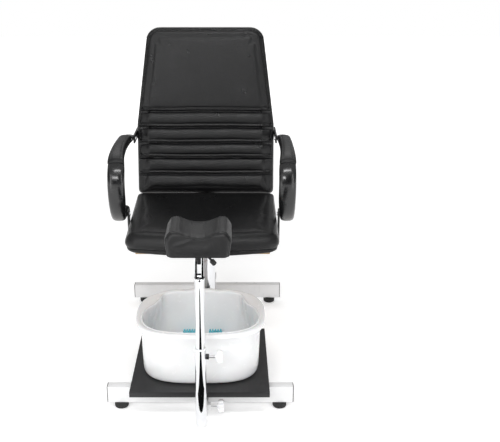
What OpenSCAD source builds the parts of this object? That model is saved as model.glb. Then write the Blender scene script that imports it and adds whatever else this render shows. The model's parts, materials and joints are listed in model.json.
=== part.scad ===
// Pedicure spa chair: a hydraulic chair on a two-bar base, with a clamped leg rest
// on a telescopic post and a lift-out foot basin on a platform.
// Front faces -Y. The origin is on the floor below the middle of the chair's box.

/* [Base] */
// Length of the front and rear bars
bar_len = 600; // [500:5:720]
// Depth of a bar, front to back
bar_d = 30; // [25:1:45]
// Height of a bar
bar_h = 56; // [42:1:62]
// Wall of the painted steel tubes
tube_wall = 2; // [1.5:0.1:3]
// Distance between the two bars, centre to centre
bar_gap = 786; // [740:2:900]
// Width of the centre beam
beam_w = 60; // [52:1:80]
// Thickness of the flange of a bar's end cap
cap_t = 2.5; // [1.5:0.5:5]
// Diameter of a rubber foot
foot_d = 46; // [36:1:60]
// Height of a rubber foot
foot_h = 22; // [14:1:32]
// Distance from a bar's end to its foot's centre
foot_inset = 42; // [32:1:80]
// Diameter of a foot's threaded stud
stud_d = 8; // [6:1:10]

/* [Platform] */
// Width of the platform board
board_w = 444; // [400:4:520]
// Depth of the platform board
board_d = 430; // [400:5:460]
// Thickness of the platform board
board_t = 18; // [15:1:22]
// How far the board reaches past the front bar
board_reach = 60; // [40:1:66]
// Diameter of the board screws' shanks
screw_d = 6; // [5:0.5:8]

/* [Pump] */
// Distance from the front bar to the pump's axis
pump_y = 510; // [490:5:560]
// Outer diameter of the chrome pump tube
pump_d = 82; // [72:1:95]
// Wall of the chrome pump tube
pump_wall = 3; // [2:0.5:4]
// Length of ram that shows above the pump with the seat lowered
ram_show = 12; // [6:1:30]
// Diameter of the ram
ram_d = 50; // [40:1:54]
// Outer diameter of the inner cylinder
cylinder_d = 62; // [58:1:66]
// Diameter of the pump's flange
flange_d = 150; // [130:5:180]
// Thickness of the pump's flange
flange_t = 10; // [6:1:14]
// Thickness of the pump's mounting plate
mount_t = 6; // [4:1:10]
// Travel of the seat lift
lift = 140; // [80:5:150]

/* [Foot pedal] */
// Length of the pedal lever from its pivot
pedal_len = 150; // [120:5:170]
// Width of the pedal's tread
tread_w = 78; // [60:1:90]
// Depth of the pedal's tread
tread_d = 52; // [40:1:70]
// Height of the pedal's pivot above the floor
pedal_z = 145; // [138:1:165]
// Diameter of the pedal's pivot pin
pedal_pin_d = 10; // [8:1:14]

/* [Seat] */
// Width of the seat cushion
seat_w = 530; // [460:2:580]
// Depth of the seat cushion
seat_d = 504; // [460:4:560]
// Distance from the front bar to the seat cushion's front edge
seat_front = 240; // [240:2:300]
// Height of the seat cushion's top above the floor
seat_top = 495; // [485:1:540]
// Thickness of the seat cushion
seat_t = 80; // [70:1:90]
// Thickness of the seat board
pan_t = 15; // [12:1:20]
// Side of the square seat plate
plate_s = 180; // [150:5:220]
// Thickness of the seat plate
plate_t = 8; // [5:1:12]

/* [Back] */
// Width of the back cushion at its foot
back_w = 536; // [480:2:580]
// Width of the back cushion at its top
back_top_w = 455; // [400:5:500]
// Length of the back cushion along its slope
back_len = 645; // [560:5:680]
// Thickness of the back cushion
back_t = 72; // [60:1:90]
// Thickness of the back board
back_board_t = 16; // [12:1:20]
// Angle that the back leans rearwards
lean = 9.2; // [6:0.2:12]
// Radius of the back's upper corners
back_r = 55; // [40:1:80]

/* [Arms] */
// Width of an arm loop
arm_w = 46; // [40:1:58]
// Thickness of an arm loop's band
arm_t = 28; // [22:1:34]
// Height of the arm loops' top above the floor
arm_top = 746; // [710:2:760]
// Distance from the front bar to the front of the arm loops
arm_front = 330; // [320:5:380]
// Height of the arm loops' lower ends above the floor
arm_low = 494; // [485:1:520]
// Sideways gap between the seat and an arm loop, taken up by the brackets
arm_gap = 8; // [7:1:14]
// Thickness of the padded arm cover
arm_pad_t = 10; // [8:1:16]
// Thickness of the arm brackets' steel
bracket_t = 6; // [4:1:8]

/* [Leg rest] */
// Distance that the post stands in front of the front bar
post_y = 120; // [112:1:140]
// Distance of the post to the side of the chair's middle
post_x = 7; // [0:1:8]
// Outer diameter of the outer post tube
post_d = 35; // [32:1:42]
// Outer diameter of the inner post tube
inner_d = 29; // [26:1:29]
// Wall of both post tubes
post_wall = 2; // [1.5:0.5:2]
// Height of the outer post tube's top
post_top = 276; // [250:2:320]
// Length of inner tube that stands above the outer tube
inner_show = 228; // [200:2:260]
// Outer side of the square socket tube
socket_s = 40; // [36:1:44]
// Wall of the square socket tube
socket_wall = 4; // [3:0.5:5]
// Height of the fork's pivot above the inner tube
fork_h = 79; // [60:1:90]
// Width of the leg pad
pad_w = 190; // [160:1:220]
// Depth of the leg pad
pad_d = 152; // [120:1:180]
// Height of the leg pad at its raised sides
pad_h = 77; // [60:1:90]
// Depth of the hollow along the leg pad
pad_dip = 20; // [10:1:30]
// Diameter of the clamp knobs
knob_d = 42; // [34:1:46]
// Thickness of the clamp knobs
knob_t = 18; // [12:1:24]
// Diameter of the clamp screws
clamp_d = 8; // [6:1:10]

/* [Foot basin] */
// Width of the basin's body
basin_w = 392; // [350:2:396]
// Depth of the basin's body, front to back
basin_d = 322; // [290:2:330]
// Height of the basin
basin_h = 188; // [150:2:210]
// Wall of the basin
basin_wall = 4; // [3:0.5:6]
// How far the basin's rim stands out
rim_out = 16; // [10:1:18]
// Height of the basin's rim band
rim_h = 16; // [10:1:24]
// Diameter of a massage roller
roller_d = 34; // [26:1:40]
// Length of a massage roller
roller_len = 46; // [36:1:60]
// Gap between the two rollers on an axle
roller_gap = 44; // [30:1:60]
// Diameter of a roller's axle
axle_d = 8; // [6:1:10]

/* [Fits] */
// Radial clearance of turning and sliding fits
run_fit = 0.05; // [0.02:0.01:0.1]
// Gap between soft parts and their neighbours
soft_gap = 0.4; // [0.3:0.1:1]

/* [Hidden] */
$fn = 48;

bar_z = foot_h;                       // underside of the bars
bar_top = bar_z + bar_h;
board_top = bar_top + board_t;
board_y = -bar_d / 2 - board_reach;   // front edge of the platform board
foot_x = bar_len / 2 - foot_inset;
mount_top = bar_top + mount_t;
mount_s = 200;                        // side of the pump's mounting plate
flange_top = mount_top + flange_t;
bolt_pcd = flange_d - 28;             // circle of the flange bolts
bolt_d = 10;
pump_in = pump_d - 2 * pump_wall;     // bore of the chrome tube
cylinder_in = cylinder_d - 8;         // bore of the inner cylinder
bore_fit = 2 * run_fit;               // what a running fit adds to a diameter

seat_under = seat_top - seat_t;       // underside of the cushion
pan_under = seat_under - pan_t;
plate_under = pan_under - plate_t;
hub_h = 34;
hub_d = 64;
hub_z = plate_under - hub_h;
spindle_d = ram_d - 18;               // top of the ram, which turns in the hub
washer_t = 3;
gland_lip = 3;
gland_h = 14;
pump_top = hub_z - washer_t - ram_show - gland_lip;
piston_h = 24;
ram_foot = flange_top + 12;           // lowest point of the piston

pivot_y = pump_y + pump_d / 2 + 22;   // pedal's pivot
plunger_y = pivot_y + 20;
plunger_d = 12;
lever_t = 12;
barrel_d = 22;
barrel_top = mount_top + 20;
collar_z = pedal_z - lever_t / 2 - 5.3; // underside of the plunger's head

seat_mid_y = seat_front + seat_d / 2;
back_y = seat_front + seat_d + soft_gap; // front of the back at its foot
back_z = seat_top - 12;
back_depth = back_t + back_board_t;
half_seat = seat_w / 2;
arm_in = max(half_seat, back_w / 2) + arm_gap;
arm_out = arm_in + arm_w;

post_in = post_d - 2 * post_wall;
inner_top = post_top + inner_show;
inner_foot = 110;                     // lower end of the inner tube
socket_in = socket_s - 2 * socket_wall;
stub_s = socket_in - 2 * bore_fit;
socket_z = bar_z + socket_s / 2;
stub_rear = 80;                       // how far the stub reaches past the front bar
reach_y = -(post_y + bar_d / 2) / 2;  // clamp screw of the socket
height_z = post_top - 26;             // clamp screw of the post
knob_gap = 24;                        // bare screw between a nut and its knob
nut_t = 8;
pin_z = inner_top + fork_h;           // pivot of the leg pad
fork_gap = 12;
fork_wall = 7;
pad_under = pin_z + 21;

basin_y = basin_d / 2 - 34;            // middle of the basin
axle_z = board_top + basin_wall + roller_d / 2 + 18;
cradle_t = 8;                         // moulded posts that hold the axles
axle_len = 2 * roller_len + roller_gap + 2 * cradle_t + 4;
roller_x = (roller_len + roller_gap) / 2;
row_front = basin_y - 50;
row_rear = basin_y + 110;

// a point of the back's side view: u rearwards from its front face, v up its slope
function back_pt(u, v) = [
  back_y + u * cos(lean) + v * sin(lean),
  back_z - u * sin(lean) + v * cos(lean)
];
// the slope length at which the plane u crosses the height z
function back_v(u, z) = (z - back_z + u * sin(lean)) / cos(lean);

// the chair's front and rear limits put the origin in the middle
front_limit = -post_y - pad_d / 2;
rear_limit = back_pt(back_depth, back_len)[0];
y_mid = (front_limit + rear_limit) / 2;

// places a piece whose Y is counted from the front bar's centre
module placed() translate([0, -y_mid, 0]) children();
// a piece on both sides of the chair
module both_sides() { children(); mirror([1, 0, 0]) children(); }
// a cylinder along X from the plane x
module rod_x(x, d, l) translate([x, 0, 0]) rotate([0, 90, 0]) cylinder(d = d, h = l);
// a box centred on X and Y, standing on z = 0
module slab(w, d, h) translate([-w / 2, -d / 2, 0]) cube([w, d, h]);
// a hexagonal head or nut across the flats af
module hex(af, h) cylinder(d = af / cos(30), h = h, $fn = 6);
// the four places of a rectangle of bolts
module four(x, y) for (i = [-1, 1], j = [-1, 1]) translate([i * x, j * y, 0]) children();

// ---- base frame ----
module bar(y) {
  color("whitesmoke") placed() translate([0, y, bar_z]) difference() {
    slab(bar_len, bar_d, bar_h);
    translate([0, 0, tube_wall])
      slab(bar_len + 2, bar_d - 2 * tube_wall, bar_h - 2 * tube_wall);
    for (x = [-foot_x, foot_x]) translate([x, 0, -1]) cylinder(d = stud_d, h = tube_wall + 2);
    if (y == 0) {
      translate([post_x, 0, (socket_s - socket_in) / 2])
        slab(socket_in, bar_d + 2, socket_in);
      for (x = [-board_screw_x, board_screw_x]) translate([x, 0, -1])
        cylinder(d = screw_d, h = bar_h + 2);
    }
  }
}
board_screw_x = board_w / 2 - 60;
beam_screw_y = board_y + board_d - 40;
beam_screw_x = beam_w / 2 - 14;
board_bite = 12;                      // depth of the screws in the board

module front_bar() bar(0);
module rear_bar() bar(bar_gap);

module centre_beam() {
  length = bar_gap - bar_d;
  color("whitesmoke") placed() difference() {
    translate([0, bar_gap / 2, bar_z]) difference() {
      slab(beam_w, length, bar_h);
      translate([0, 0, tube_wall])
        slab(beam_w - 2 * tube_wall, length + 2, bar_h - 2 * tube_wall);
    }
    for (x = [-beam_screw_x, beam_screw_x]) translate([x, beam_screw_y, bar_z - 1])
      cylinder(d = screw_d, h = bar_h + 2);
  }
}

module bar_end_caps() {
  color("black") placed() both_sides() for (y = [0, bar_gap])
    translate([bar_len / 2, y, bar_z]) {
      translate([0, -bar_d / 2, 0]) cube([cap_t, bar_d, bar_h]);
      translate([-14, tube_wall - bar_d / 2, tube_wall])
        cube([14.01, bar_d - 2 * tube_wall, bar_h - 2 * tube_wall]);
    }
}

module at_feet() placed() for (x = [-foot_x, foot_x], y = [0, bar_gap])
  translate([x, y, 0]) children();

module rubber_feet() {
  r = foot_d / 2;
  color("black") at_feet() difference() {
    rotate_extrude() polygon([
      [0, 0], [r - 4, 0], [r - 1, 2], [r, 5], [r, foot_h - 3], [r - 2, foot_h], [0, foot_h]
    ]);
    translate([0, 0, foot_h / 2]) cylinder(d = stud_d, h = foot_h);
  }
}

module foot_studs() {
  color("silver") at_feet() {
    translate([0, 0, foot_h / 2]) cylinder(d = stud_d, h = foot_h / 2 + tube_wall + 10);
    translate([0, 0, bar_z + tube_wall]) difference() {
      hex(stud_d + 5, 6);
      translate([0, 0, -1]) cylinder(d = stud_d - 1, h = 8);
    }
  }
}

// ---- platform ----
module at_board_screws() placed() {
  for (x = [-board_screw_x, board_screw_x]) translate([x, 0, bar_z]) children();
  for (x = [-beam_screw_x, beam_screw_x]) translate([x, beam_screw_y, bar_z]) children();
}

module platform_board() {
  color("dimgray") difference() {
    placed() translate([0, board_y + board_d / 2, bar_top]) slab(board_w, board_d, board_t);
    at_board_screws() cylinder(d = screw_d, h = bar_h + board_bite);
  }
}

module platform_screws() {
  color("silver") at_board_screws() {
    cylinder(d = screw_d, h = bar_h + board_bite);
    translate([0, 0, -4]) hex(screw_d + 4, 4);
  }
}

// ---- hydraulic pump ----
module at_pump() placed() translate([0, pump_y, 0]) children();
module at_flange_bolts() at_pump() for (a = [45:90:315]) rotate([0, 0, a])
  translate([bolt_pcd / 2, 0, 0]) rotate([0, 0, -a]) children();

module pump_mount_plate() {
  color("whitesmoke") difference() {
    at_pump() translate([0, 0, bar_top]) slab(mount_s, mount_s, mount_t);
    at_flange_bolts() translate([0, 0, bar_top - 1]) cylinder(d = bolt_d, h = mount_t + 2);
  }
}

module pump_flange() {
  color("silver") difference() {
    at_pump() translate([0, 0, mount_top]) cylinder(d = flange_d, h = flange_t);
    at_flange_bolts() translate([0, 0, mount_top - 1]) cylinder(d = bolt_d, h = flange_t + 2);
  }
}

module flange_bolts() {
  color("silver") at_flange_bolts() {
    translate([0, 0, bar_top - 12]) cylinder(d = bolt_d, h = flange_top - bar_top + 12);
    translate([0, 0, flange_top]) hex(bolt_d + 7, 7);
    translate([0, 0, bar_top - 8]) hex(bolt_d + 7, 8);
  }
}

module tube(d, bore, z0, z1) translate([0, 0, z0]) difference() {
  cylinder(d = d, h = z1 - z0);
  translate([0, 0, -1]) cylinder(d = bore, h = z1 - z0 + 2);
}

module pump_outer_tube() color("silver") at_pump() tube(pump_d, pump_in, flange_top, pump_top);

module pump_cylinder() {
  color("gray") at_pump() tube(cylinder_d, cylinder_in, flange_top, pump_top - gland_h);
}

module pump_gland() {
  bore = ram_d + bore_fit;
  color("black") at_pump() {
    tube(pump_in, bore, pump_top - gland_h, pump_top);
    tube(pump_d, bore, pump_top - 0.01, pump_top + gland_lip);
  }
}

module pump_ram() {
  color("silver") at_pump() {
    translate([0, 0, ram_foot + piston_h])
      cylinder(d = ram_d, h = hub_z - washer_t - ram_foot - piston_h);
    translate([0, 0, hub_z - washer_t - 0.01]) cylinder(d = spindle_d, h = hub_h + washer_t - 4);
  }
}

module ram_piston() {
  color("darkgray") at_pump() translate([0, 0, ram_foot]) difference() {
    cylinder(d = cylinder_in - bore_fit, h = piston_h);
    for (z = [5, 14]) translate([0, 0, z]) tube(cylinder_in + 2, cylinder_in - 5, 0, 4);
  }
}

module thrust_washer() {
  color("gold") at_pump() tube(ram_d, spindle_d, hub_z - washer_t, hub_z);
}

// ---- foot pedal ----
module at_pivot() placed() translate([0, pivot_y, pedal_z]) children();
ear_in = 13;
ear_t = 6;

module pedal_bracket() {
  color("silver") {
    // the barrel and the foot that joins it to the ears, cut back round the flange
    difference() {
      placed() translate([0, plunger_y, mount_top]) {
        cylinder(d = barrel_d, h = barrel_top - mount_top);
        translate([-ear_in - ear_t, -6, 0]) cube([2 * (ear_in + ear_t), 12, 8]);
      }
      placed() translate([0, plunger_y, mount_top + 6]) cylinder(d = plunger_d + bore_fit, h = barrel_top);
      at_pump() translate([0, 0, mount_top - 1]) cylinder(d = flange_d + bore_fit, h = flange_t + 1);
    }
    both_sides() difference() {
      union() {
        placed() translate([ear_in, pivot_y - 10, flange_top]) cube([ear_t, 20, pedal_z - flange_top]);
        at_pivot() rod_x(ear_in, 20, ear_t);
      }
      at_pivot() rod_x(0, pedal_pin_d, ear_in + ear_t + 1);
    }
    both_sides() placed() {
      translate([ear_in, pivot_y + 4, flange_top]) cube([ear_t, plunger_y - pivot_y + 2, 20]);
      translate([ear_in, plunger_y - 6, mount_top]) cube([ear_t, 12, flange_t + 1]);
    }
  }
}

module pedal_pin() {
  color("silver") at_pivot() {
    rod_x(-ear_in - ear_t - 3, pedal_pin_d, 2 * (ear_in + ear_t + 3));
    both_sides() rod_x(ear_in + ear_t, pedal_pin_d + 5, 2);
  }
}

module pedal_lever() {
  w = 2 * ear_in - 4;
  color("silver") at_pivot() difference() {
    union() {
      rod_x(-w / 2, pedal_pin_d + 12, w);
      translate([-w / 2, 0, -lever_t / 2]) cube([w, pedal_len, lever_t]);
      translate([-tread_w / 2 + 2, pedal_len - tread_d, lever_t / 2 - 4])
        cube([tread_w - 4, tread_d, 4]);
    }
    rod_x(-w, pedal_pin_d + bore_fit, 2 * w);
  }
}

module pedal_tread() {
  ribs = 6;
  color("black") at_pivot() translate([0, pedal_len - tread_d / 2, lever_t / 2]) {
    slab(tread_w, tread_d + 2, 6);
    for (i = [0:ribs - 1]) translate([0, (i + 0.5) * tread_d / ribs - tread_d / 2, 5.99])
      slab(tread_w - 8, 4, 2);
  }
}

module pump_plunger() {
  color("silver") placed() translate([0, plunger_y, 0]) {
    translate([0, 0, mount_top + 16]) cylinder(d = plunger_d, h = collar_z - mount_top - 16);
    translate([0, 0, collar_z - 0.01]) cylinder(d = barrel_d - 2, h = 2);
    translate([0, 0, collar_z]) sphere(r = 5, $fn = 32);
  }
}

module plunger_spring() {
  color("dimgray") placed() translate([0, plunger_y, 0])
    tube(barrel_d - 3, plunger_d + 2, barrel_top, collar_z);
}

// ---- seat ----
module swivel_hub() {
  color("dimgray") at_pump() translate([0, 0, hub_z]) difference() {
    cylinder(d = hub_d, h = hub_h);
    translate([0, 0, -1]) cylinder(d = spindle_d + bore_fit, h = hub_h - 2);
  }
}

plate_bolt = plate_s / 2 - 18;

module seat_plate() {
  color("dimgray") at_pump() translate([0, 0, plate_under]) difference() {
    slab(plate_s, plate_s, plate_t);
    four(plate_bolt, plate_bolt) translate([0, 0, -1]) cylinder(d = bolt_d - 2, h = plate_t + 2);
  }
}

strap_w = 70;
strap_t = 8;
strap_front = pump_y + plate_s / 2 + 12;
strap_up = 240;                       // how far the bracket runs up the back

module at_strap_bolts() for (x = [-22, 22], y = [20, 80])
  placed() translate([x, strap_front + y, pan_under]) children();
module at_back_bolts() for (x = [-22, 22], v = [60, 190])
  placed() translate([x, back_pt(back_depth + strap_t, v)[0], back_pt(back_depth + strap_t, v)[1]])
    rotate([90 - lean, 0, 0]) children();

module seat_bolts() {
  color("silver") {
    at_pump() four(plate_bolt, plate_bolt) translate([0, 0, plate_under]) {
      cylinder(d = bolt_d - 2, h = plate_t + pan_t - 3);
      translate([0, 0, -5]) hex(bolt_d + 3, 5);
    }
    at_strap_bolts() translate([0, 0, -strap_t]) {
      cylinder(d = bolt_d - 2, h = strap_t + pan_t - 3);
      translate([0, 0, -5]) hex(bolt_d + 3, 5);
    }
    at_back_bolts() {
      cylinder(d = bolt_d - 2, h = strap_t + back_board_t - 3);
      translate([0, 0, -5]) hex(bolt_d + 3, 5);
    }
  }
}

module seat_pan() {
  side = 30;                          // hidden under the cushion's edges
  front = 90;
  rear = 12;
  color("burlywood") difference() {
    placed() translate([0, seat_mid_y + (front - rear) / 2, pan_under])
      slab(seat_w - 2 * side, seat_d - front - rear, pan_t);
    at_pump() four(plate_bolt, plate_bolt) translate([0, 0, pan_under - 1])
      cylinder(d = bolt_d - 2, h = pan_t - 2);
    at_strap_bolts() translate([0, 0, -1]) cylinder(d = bolt_d - 2, h = pan_t - 2);
  }
}

module seat_cushion() {
  r = 15;
  nose = 38;                          // rounder front edge
  low = seat_under + soft_gap / 4;
  color("black") placed() hull() {
    both_sides() {
      translate([half_seat - r, seat_front + seat_d - r, low]) cylinder(r = r, h = 10, $fn = 32);
      translate([half_seat - r, seat_front + seat_d - r, seat_top - r]) sphere(r = r, $fn = 32);
      translate([half_seat - nose - 2, seat_front + nose, seat_top - nose]) sphere(r = nose, $fn = 32);
      translate([half_seat - nose - 6, seat_front + nose + 4, low])
        cylinder(r = nose, h = 8, $fn = 32);
    }
  }
}

// ---- back ----
module on_back() placed() translate([0, back_y, back_z]) rotate([-lean, 0, 0]) children();

module back_bracket() {
  rear = back_depth + strap_t;
  color("dimgray") difference() {
    placed() translate([-strap_w / 2, 0, 0]) rotate([90, 0, 90]) linear_extrude(strap_w)
      polygon([
        [strap_front, pan_under], [strap_front, pan_under - strap_t],
        back_pt(rear, back_v(rear, pan_under - strap_t)), back_pt(rear, strap_up),
        back_pt(back_depth, strap_up), back_pt(back_depth, back_v(back_depth, pan_under))
      ]);
    at_strap_bolts() translate([0, 0, -strap_t - 1]) cylinder(d = bolt_d - 2, h = strap_t + 2);
    at_back_bolts() translate([0, 0, -1]) cylinder(d = bolt_d - 2, h = strap_t + 2);
  }
}

// the back's outline in its own plane, grown by g
module back_outline(g) {
  foot = 18;
  hull() both_sides() {
    translate([back_w / 2 - foot, foot]) circle(r = foot + g, $fn = 48);
    translate([back_w / 2 - foot, back_len * 0.42]) circle(r = foot + g, $fn = 48);
    translate([back_top_w / 2 - back_r, back_len - back_r]) circle(r = back_r + g, $fn = 64);
  }
}

module back_board() {
  color("black") difference() {
    on_back() translate([0, back_depth, 0]) rotate([90, 0, 0])
      linear_extrude(back_board_t) back_outline(-6);
    at_back_bolts() translate([0, 0, strap_t - 1]) cylinder(d = bolt_d - 2, h = back_board_t - 2);
  }
}

module back_cushion() {
  round = 20;
  color("black") on_back() hull() {
    translate([0, back_t - soft_gap / 2, 0]) rotate([90, 0, 0])
      linear_extrude(back_t - round) back_outline(0);
    translate([0, round, 0]) rotate([90, 0, 0]) linear_extrude(round * 0.7) back_outline(-7);
    translate([0, 2, 0]) rotate([90, 0, 0]) linear_extrude(2) back_outline(-round);
  }
}

// ---- arms ----
arm_mid = arm_top - arm_pad_t - arm_t / 2; // centre line's height along the top
function bezier(p, t) = pow(1 - t, 3) * p[0] + 3 * pow(1 - t, 2) * t * p[1]
  + 3 * (1 - t) * t * t * p[2] + t * t * t * p[3];
// the loop's centre line in its side view, from the back over the front to the seat
arm_curves = [
  [[back_y + 46, arm_mid - 20], [back_y - 60, arm_mid],
   [arm_front + 190, arm_mid + 12], [arm_front + 92, arm_mid + 2]],
  [[arm_front + 92, arm_mid + 2], [arm_front + 30, arm_mid - 5],
   [arm_front + 12, arm_mid - 44], [arm_front + arm_t / 2, arm_mid - 90]],
  [[arm_front + arm_t / 2, arm_mid - 90], [arm_front + 16, arm_mid - 130],
   [arm_front + 36, arm_low + 50], [arm_front + 72, arm_low + 21]],
  [[arm_front + 72, arm_low + 21], [arm_front + 98, arm_low],
   [arm_front + 150, arm_low], [arm_front + 220, arm_low]]
];
arm_steps = 9;
arm_line = [for (c = arm_curves, i = [0:arm_steps - 1]) bezier(c, i / arm_steps),
            arm_curves[3][3]];
function unit(v) = v / norm(v);
function along(line, i) = unit(line[min(i + 1, len(line) - 1)] - line[max(i - 1, 0)]);
// the line moved sideways by g, positive towards the loop's outside
function beside(line, g) = [for (i = [0:len(line) - 1])
  line[i] + g * [-along(line, i)[1], along(line, i)[0]] * -1];
function reversed(v) = [for (i = [len(v) - 1:-1:0]) v[i]];

// the band between two offsets of a line, w wide, from the plane x
module band(line, inner, outer, x, w) translate([x, 0, 0]) rotate([90, 0, 90])
  linear_extrude(w) polygon(concat(beside(line, inner), reversed(beside(line, outer))));

arm_bolt_low = arm_line[len(arm_line) - 4];
arm_bolt_back = arm_line[1];
module at_arm_bolt(p, x) translate([x, p[0], p[1]]) rotate([0, 90, 0]) children();

module arm_loop() placed() difference() {
  union() {
    band(arm_line, -arm_t / 2 + 4, arm_t / 2 - 4, arm_in, arm_w);
    band(arm_line, -arm_t / 2, arm_t / 2, arm_in + 4, arm_w - 8);
  }
  for (p = [arm_bolt_low, arm_bolt_back]) at_arm_bolt(p, arm_in - 1)
    cylinder(d = bolt_d - 2, h = 22);
}

pad_line = [for (i = [3:arm_steps + 3]) arm_line[i]];
module arm_pad() placed() {
  band(pad_line, arm_t / 2, arm_t / 2 + arm_pad_t - 3, arm_in + 4, arm_w - 8);
  band(pad_line, arm_t / 2 + 0.01, arm_t / 2 + arm_pad_t, arm_in + 8, arm_w - 16);
}

module arm_right() color("black") arm_loop();
module arm_left() color("black") mirror([1, 0, 0]) arm_loop();
module arm_pad_right() color("black") arm_pad();
module arm_pad_left() color("black") mirror([1, 0, 0]) arm_pad();

tab_h = 18;
back_tab_x = back_w / 2 - 40;         // inner end of a back bracket, behind the board
module arm_brackets() {
  tab_x = arm_in - bracket_t;
  color("black") both_sides() placed() difference() {
    union() {
      // under the seat board, then up beside the cushion
      translate([half_seat - 90, arm_bolt_low[0] - tab_h, pan_under - bracket_t])
        cube([arm_in - half_seat + 90, 2 * tab_h, bracket_t]);
      translate([tab_x, arm_bolt_low[0] - tab_h, pan_under - 0.01])
        cube([bracket_t, 2 * tab_h, arm_bolt_low[1] + 14 - pan_under]);
      // behind the back board, then forward to the loop's rear end
      translate([tab_x, arm_bolt_back[0] - 16, arm_bolt_back[1] - 16])
        cube([bracket_t, back_tab_y - arm_bolt_back[0] + 16 + bracket_t, 32]);
      translate([back_tab_x, back_tab_y, arm_bolt_back[1] - 16])
        cube([arm_in - back_tab_x, bracket_t, 32]);
    }
    for (p = [arm_bolt_low, arm_bolt_back]) at_arm_bolt(p, tab_x - 1)
      cylinder(d = bolt_d - 2, h = bracket_t + 2);
  }
}
// plane behind the back board at the height of the back brackets
back_tab_y = back_pt(back_depth, back_v(back_depth, arm_bolt_back[1] + 16))[0];

module arm_bolts() {
  color("silver") both_sides() placed() for (p = [arm_bolt_low, arm_bolt_back]) {
    at_arm_bolt(p, arm_in - bracket_t) cylinder(d = bolt_d - 2, h = bracket_t + 21);
    at_arm_bolt(p, arm_in - bracket_t - 4) cylinder(d = bolt_d + 4, h = 4);
  }
}

// ---- leg rest ----
module at_socket() placed() translate([post_x, 0, 0]) children();
module at_post() at_socket() translate([0, -post_y, 0]) children();

module socket_tube() {
  front = -post_y + post_d / 2 + 8;
  color("whitesmoke") at_socket() difference() {
    translate([-socket_s / 2, front, socket_z - socket_s / 2])
      cube([socket_s, -bar_d / 2 - front, socket_s]);
    translate([-socket_in / 2, front - 1, socket_z - socket_in / 2])
      cube([socket_in, -bar_d / 2 - front + 2, socket_in]);
    translate([0, reach_y, socket_z]) rod_x(0, clamp_d + bore_fit, socket_s);
  }
}

module socket_nut() {
  color("whitesmoke") at_socket() translate([0, reach_y, socket_z]) difference() {
    translate([socket_s / 2, -9, -9]) cube([nut_t, 18, 18]);
    rod_x(0, clamp_d + bore_fit, socket_s);
  }
}

// a fluted hand knob along X, with a blind hole for its screw
module hand_knob() difference() {
  union() {
    rod_x(3, knob_d, knob_t - 6);
    rod_x(0, knob_d - 6, knob_t);
    rod_x(-5, clamp_d + 8, 6);
  }
  for (a = [0:60:300]) rotate([a, 0, 0]) translate([0, knob_d / 2 + 5, 0])
    rod_x(-1, 16, knob_t + 2);
  rod_x(-6, clamp_d, 14);
}

reach_knob_x = socket_s / 2 + nut_t + knob_gap;
module reach_screw() color("silver") at_socket() translate([0, reach_y, socket_z])
  rod_x(stub_s / 2 + run_fit, clamp_d, reach_knob_x + 8 - stub_s / 2 - run_fit);
module reach_knob() color("whitesmoke") at_socket() translate([reach_knob_x, reach_y, socket_z])
  hand_knob();

module post_outer_tube() {
  color("silver") at_post() difference() {
    tube(post_d, post_in, 12, post_top);
    translate([0, 0, socket_z - stub_s / 2]) translate([-stub_s / 2, 0, 0])
      cube([stub_s, post_d, stub_s]);
    translate([0, 0, height_z]) rod_x(0, clamp_d + bore_fit, post_d);
  }
}

module post_stub() {
  hollow = stub_s - 5;
  color("silver") at_socket() difference() {
    translate([-stub_s / 2, -post_y, socket_z - stub_s / 2])
      cube([stub_s, post_y + stub_rear, stub_s]);
    translate([-hollow / 2, -post_y - 1, socket_z - hollow / 2])
      cube([hollow, post_y + stub_rear + 2, hollow]);
    translate([0, -post_y, 0]) difference() {
      translate([0, 0, -1]) cylinder(d = post_in, h = post_top);
    }
    translate([-stub_s, -post_y - stub_s, 0]) cube([2 * stub_s, stub_s, post_top]);
  }
}

module post_bottom_cap() {
  r = post_d / 2;
  color("silver") at_post() {
    rotate_extrude() polygon([[0, 5], [r - 7, 6], [r - 3, 8], [r, 12], [0, 12]]);
    translate([0, 0, 11.99]) cylinder(d = post_in, h = 10);
  }
}

bush_deep = 14;
module post_bush() {
  bore = inner_d + bore_fit;
  color("gainsboro") at_post() {
    tube(post_in, bore, post_top - bush_deep, post_top);
    tube(post_d, bore, post_top - 0.01, post_top + 4);
  }
}

module post_nut() {
  color("dimgray") at_post() translate([0, 0, height_z]) difference() {
    rod_x(0, 17, post_d / 2 + nut_t);
    translate([0, 0, -20]) cylinder(d = post_d, h = 40);
    rod_x(-1, clamp_d + bore_fit, post_d);
  }
}

height_knob_x = post_d / 2 + nut_t + knob_gap;
module height_screw() color("silver") at_post() translate([0, 0, height_z])
  rod_x(inner_d / 2 + run_fit, clamp_d, height_knob_x + 8 - inner_d / 2 - run_fit);
module height_knob() color("whitesmoke") at_post() translate([height_knob_x, 0, height_z])
  hand_knob();

module post_inner_tube() {
  color("silver") at_post() tube(inner_d, inner_d - 2 * post_wall, inner_foot, inner_top);
}

// the fork that carries the leg pad and turns in the inner tube
module yoke() {
  bore = inner_d - 2 * post_wall;
  half = fork_gap / 2 + fork_wall;
  color("silver") at_post() difference() {
    union() {
      translate([0, 0, inner_top - 40]) cylinder(d = bore - bore_fit, h = 41);
      translate([0, 0, inner_top]) cylinder(d = inner_d + 2, h = 8);
      both_sides() {
        translate([fork_gap / 2, -12, inner_top + 7]) cube([fork_wall, 24, fork_h - 7]);
        translate([0, 0, pin_z]) rod_x(fork_gap / 2, 24, fork_wall);
      }
      translate([-half, -12, inner_top + 7]) cube([2 * half, 24, 9]);
    }
    translate([0, 0, pin_z]) rod_x(-half - 1, clamp_d, 2 * half + 2);
  }
}

lever_x = fork_gap / 2 + fork_wall + 1;
module tilt_screw() {
  half = fork_gap / 2 + fork_wall;
  color("silver") at_post() translate([0, 0, pin_z]) {
    rod_x(-half - 4, clamp_d, lever_x + 12 + half + 4);
    rod_x(-half - 5, clamp_d + 6, 5);
  }
}

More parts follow.
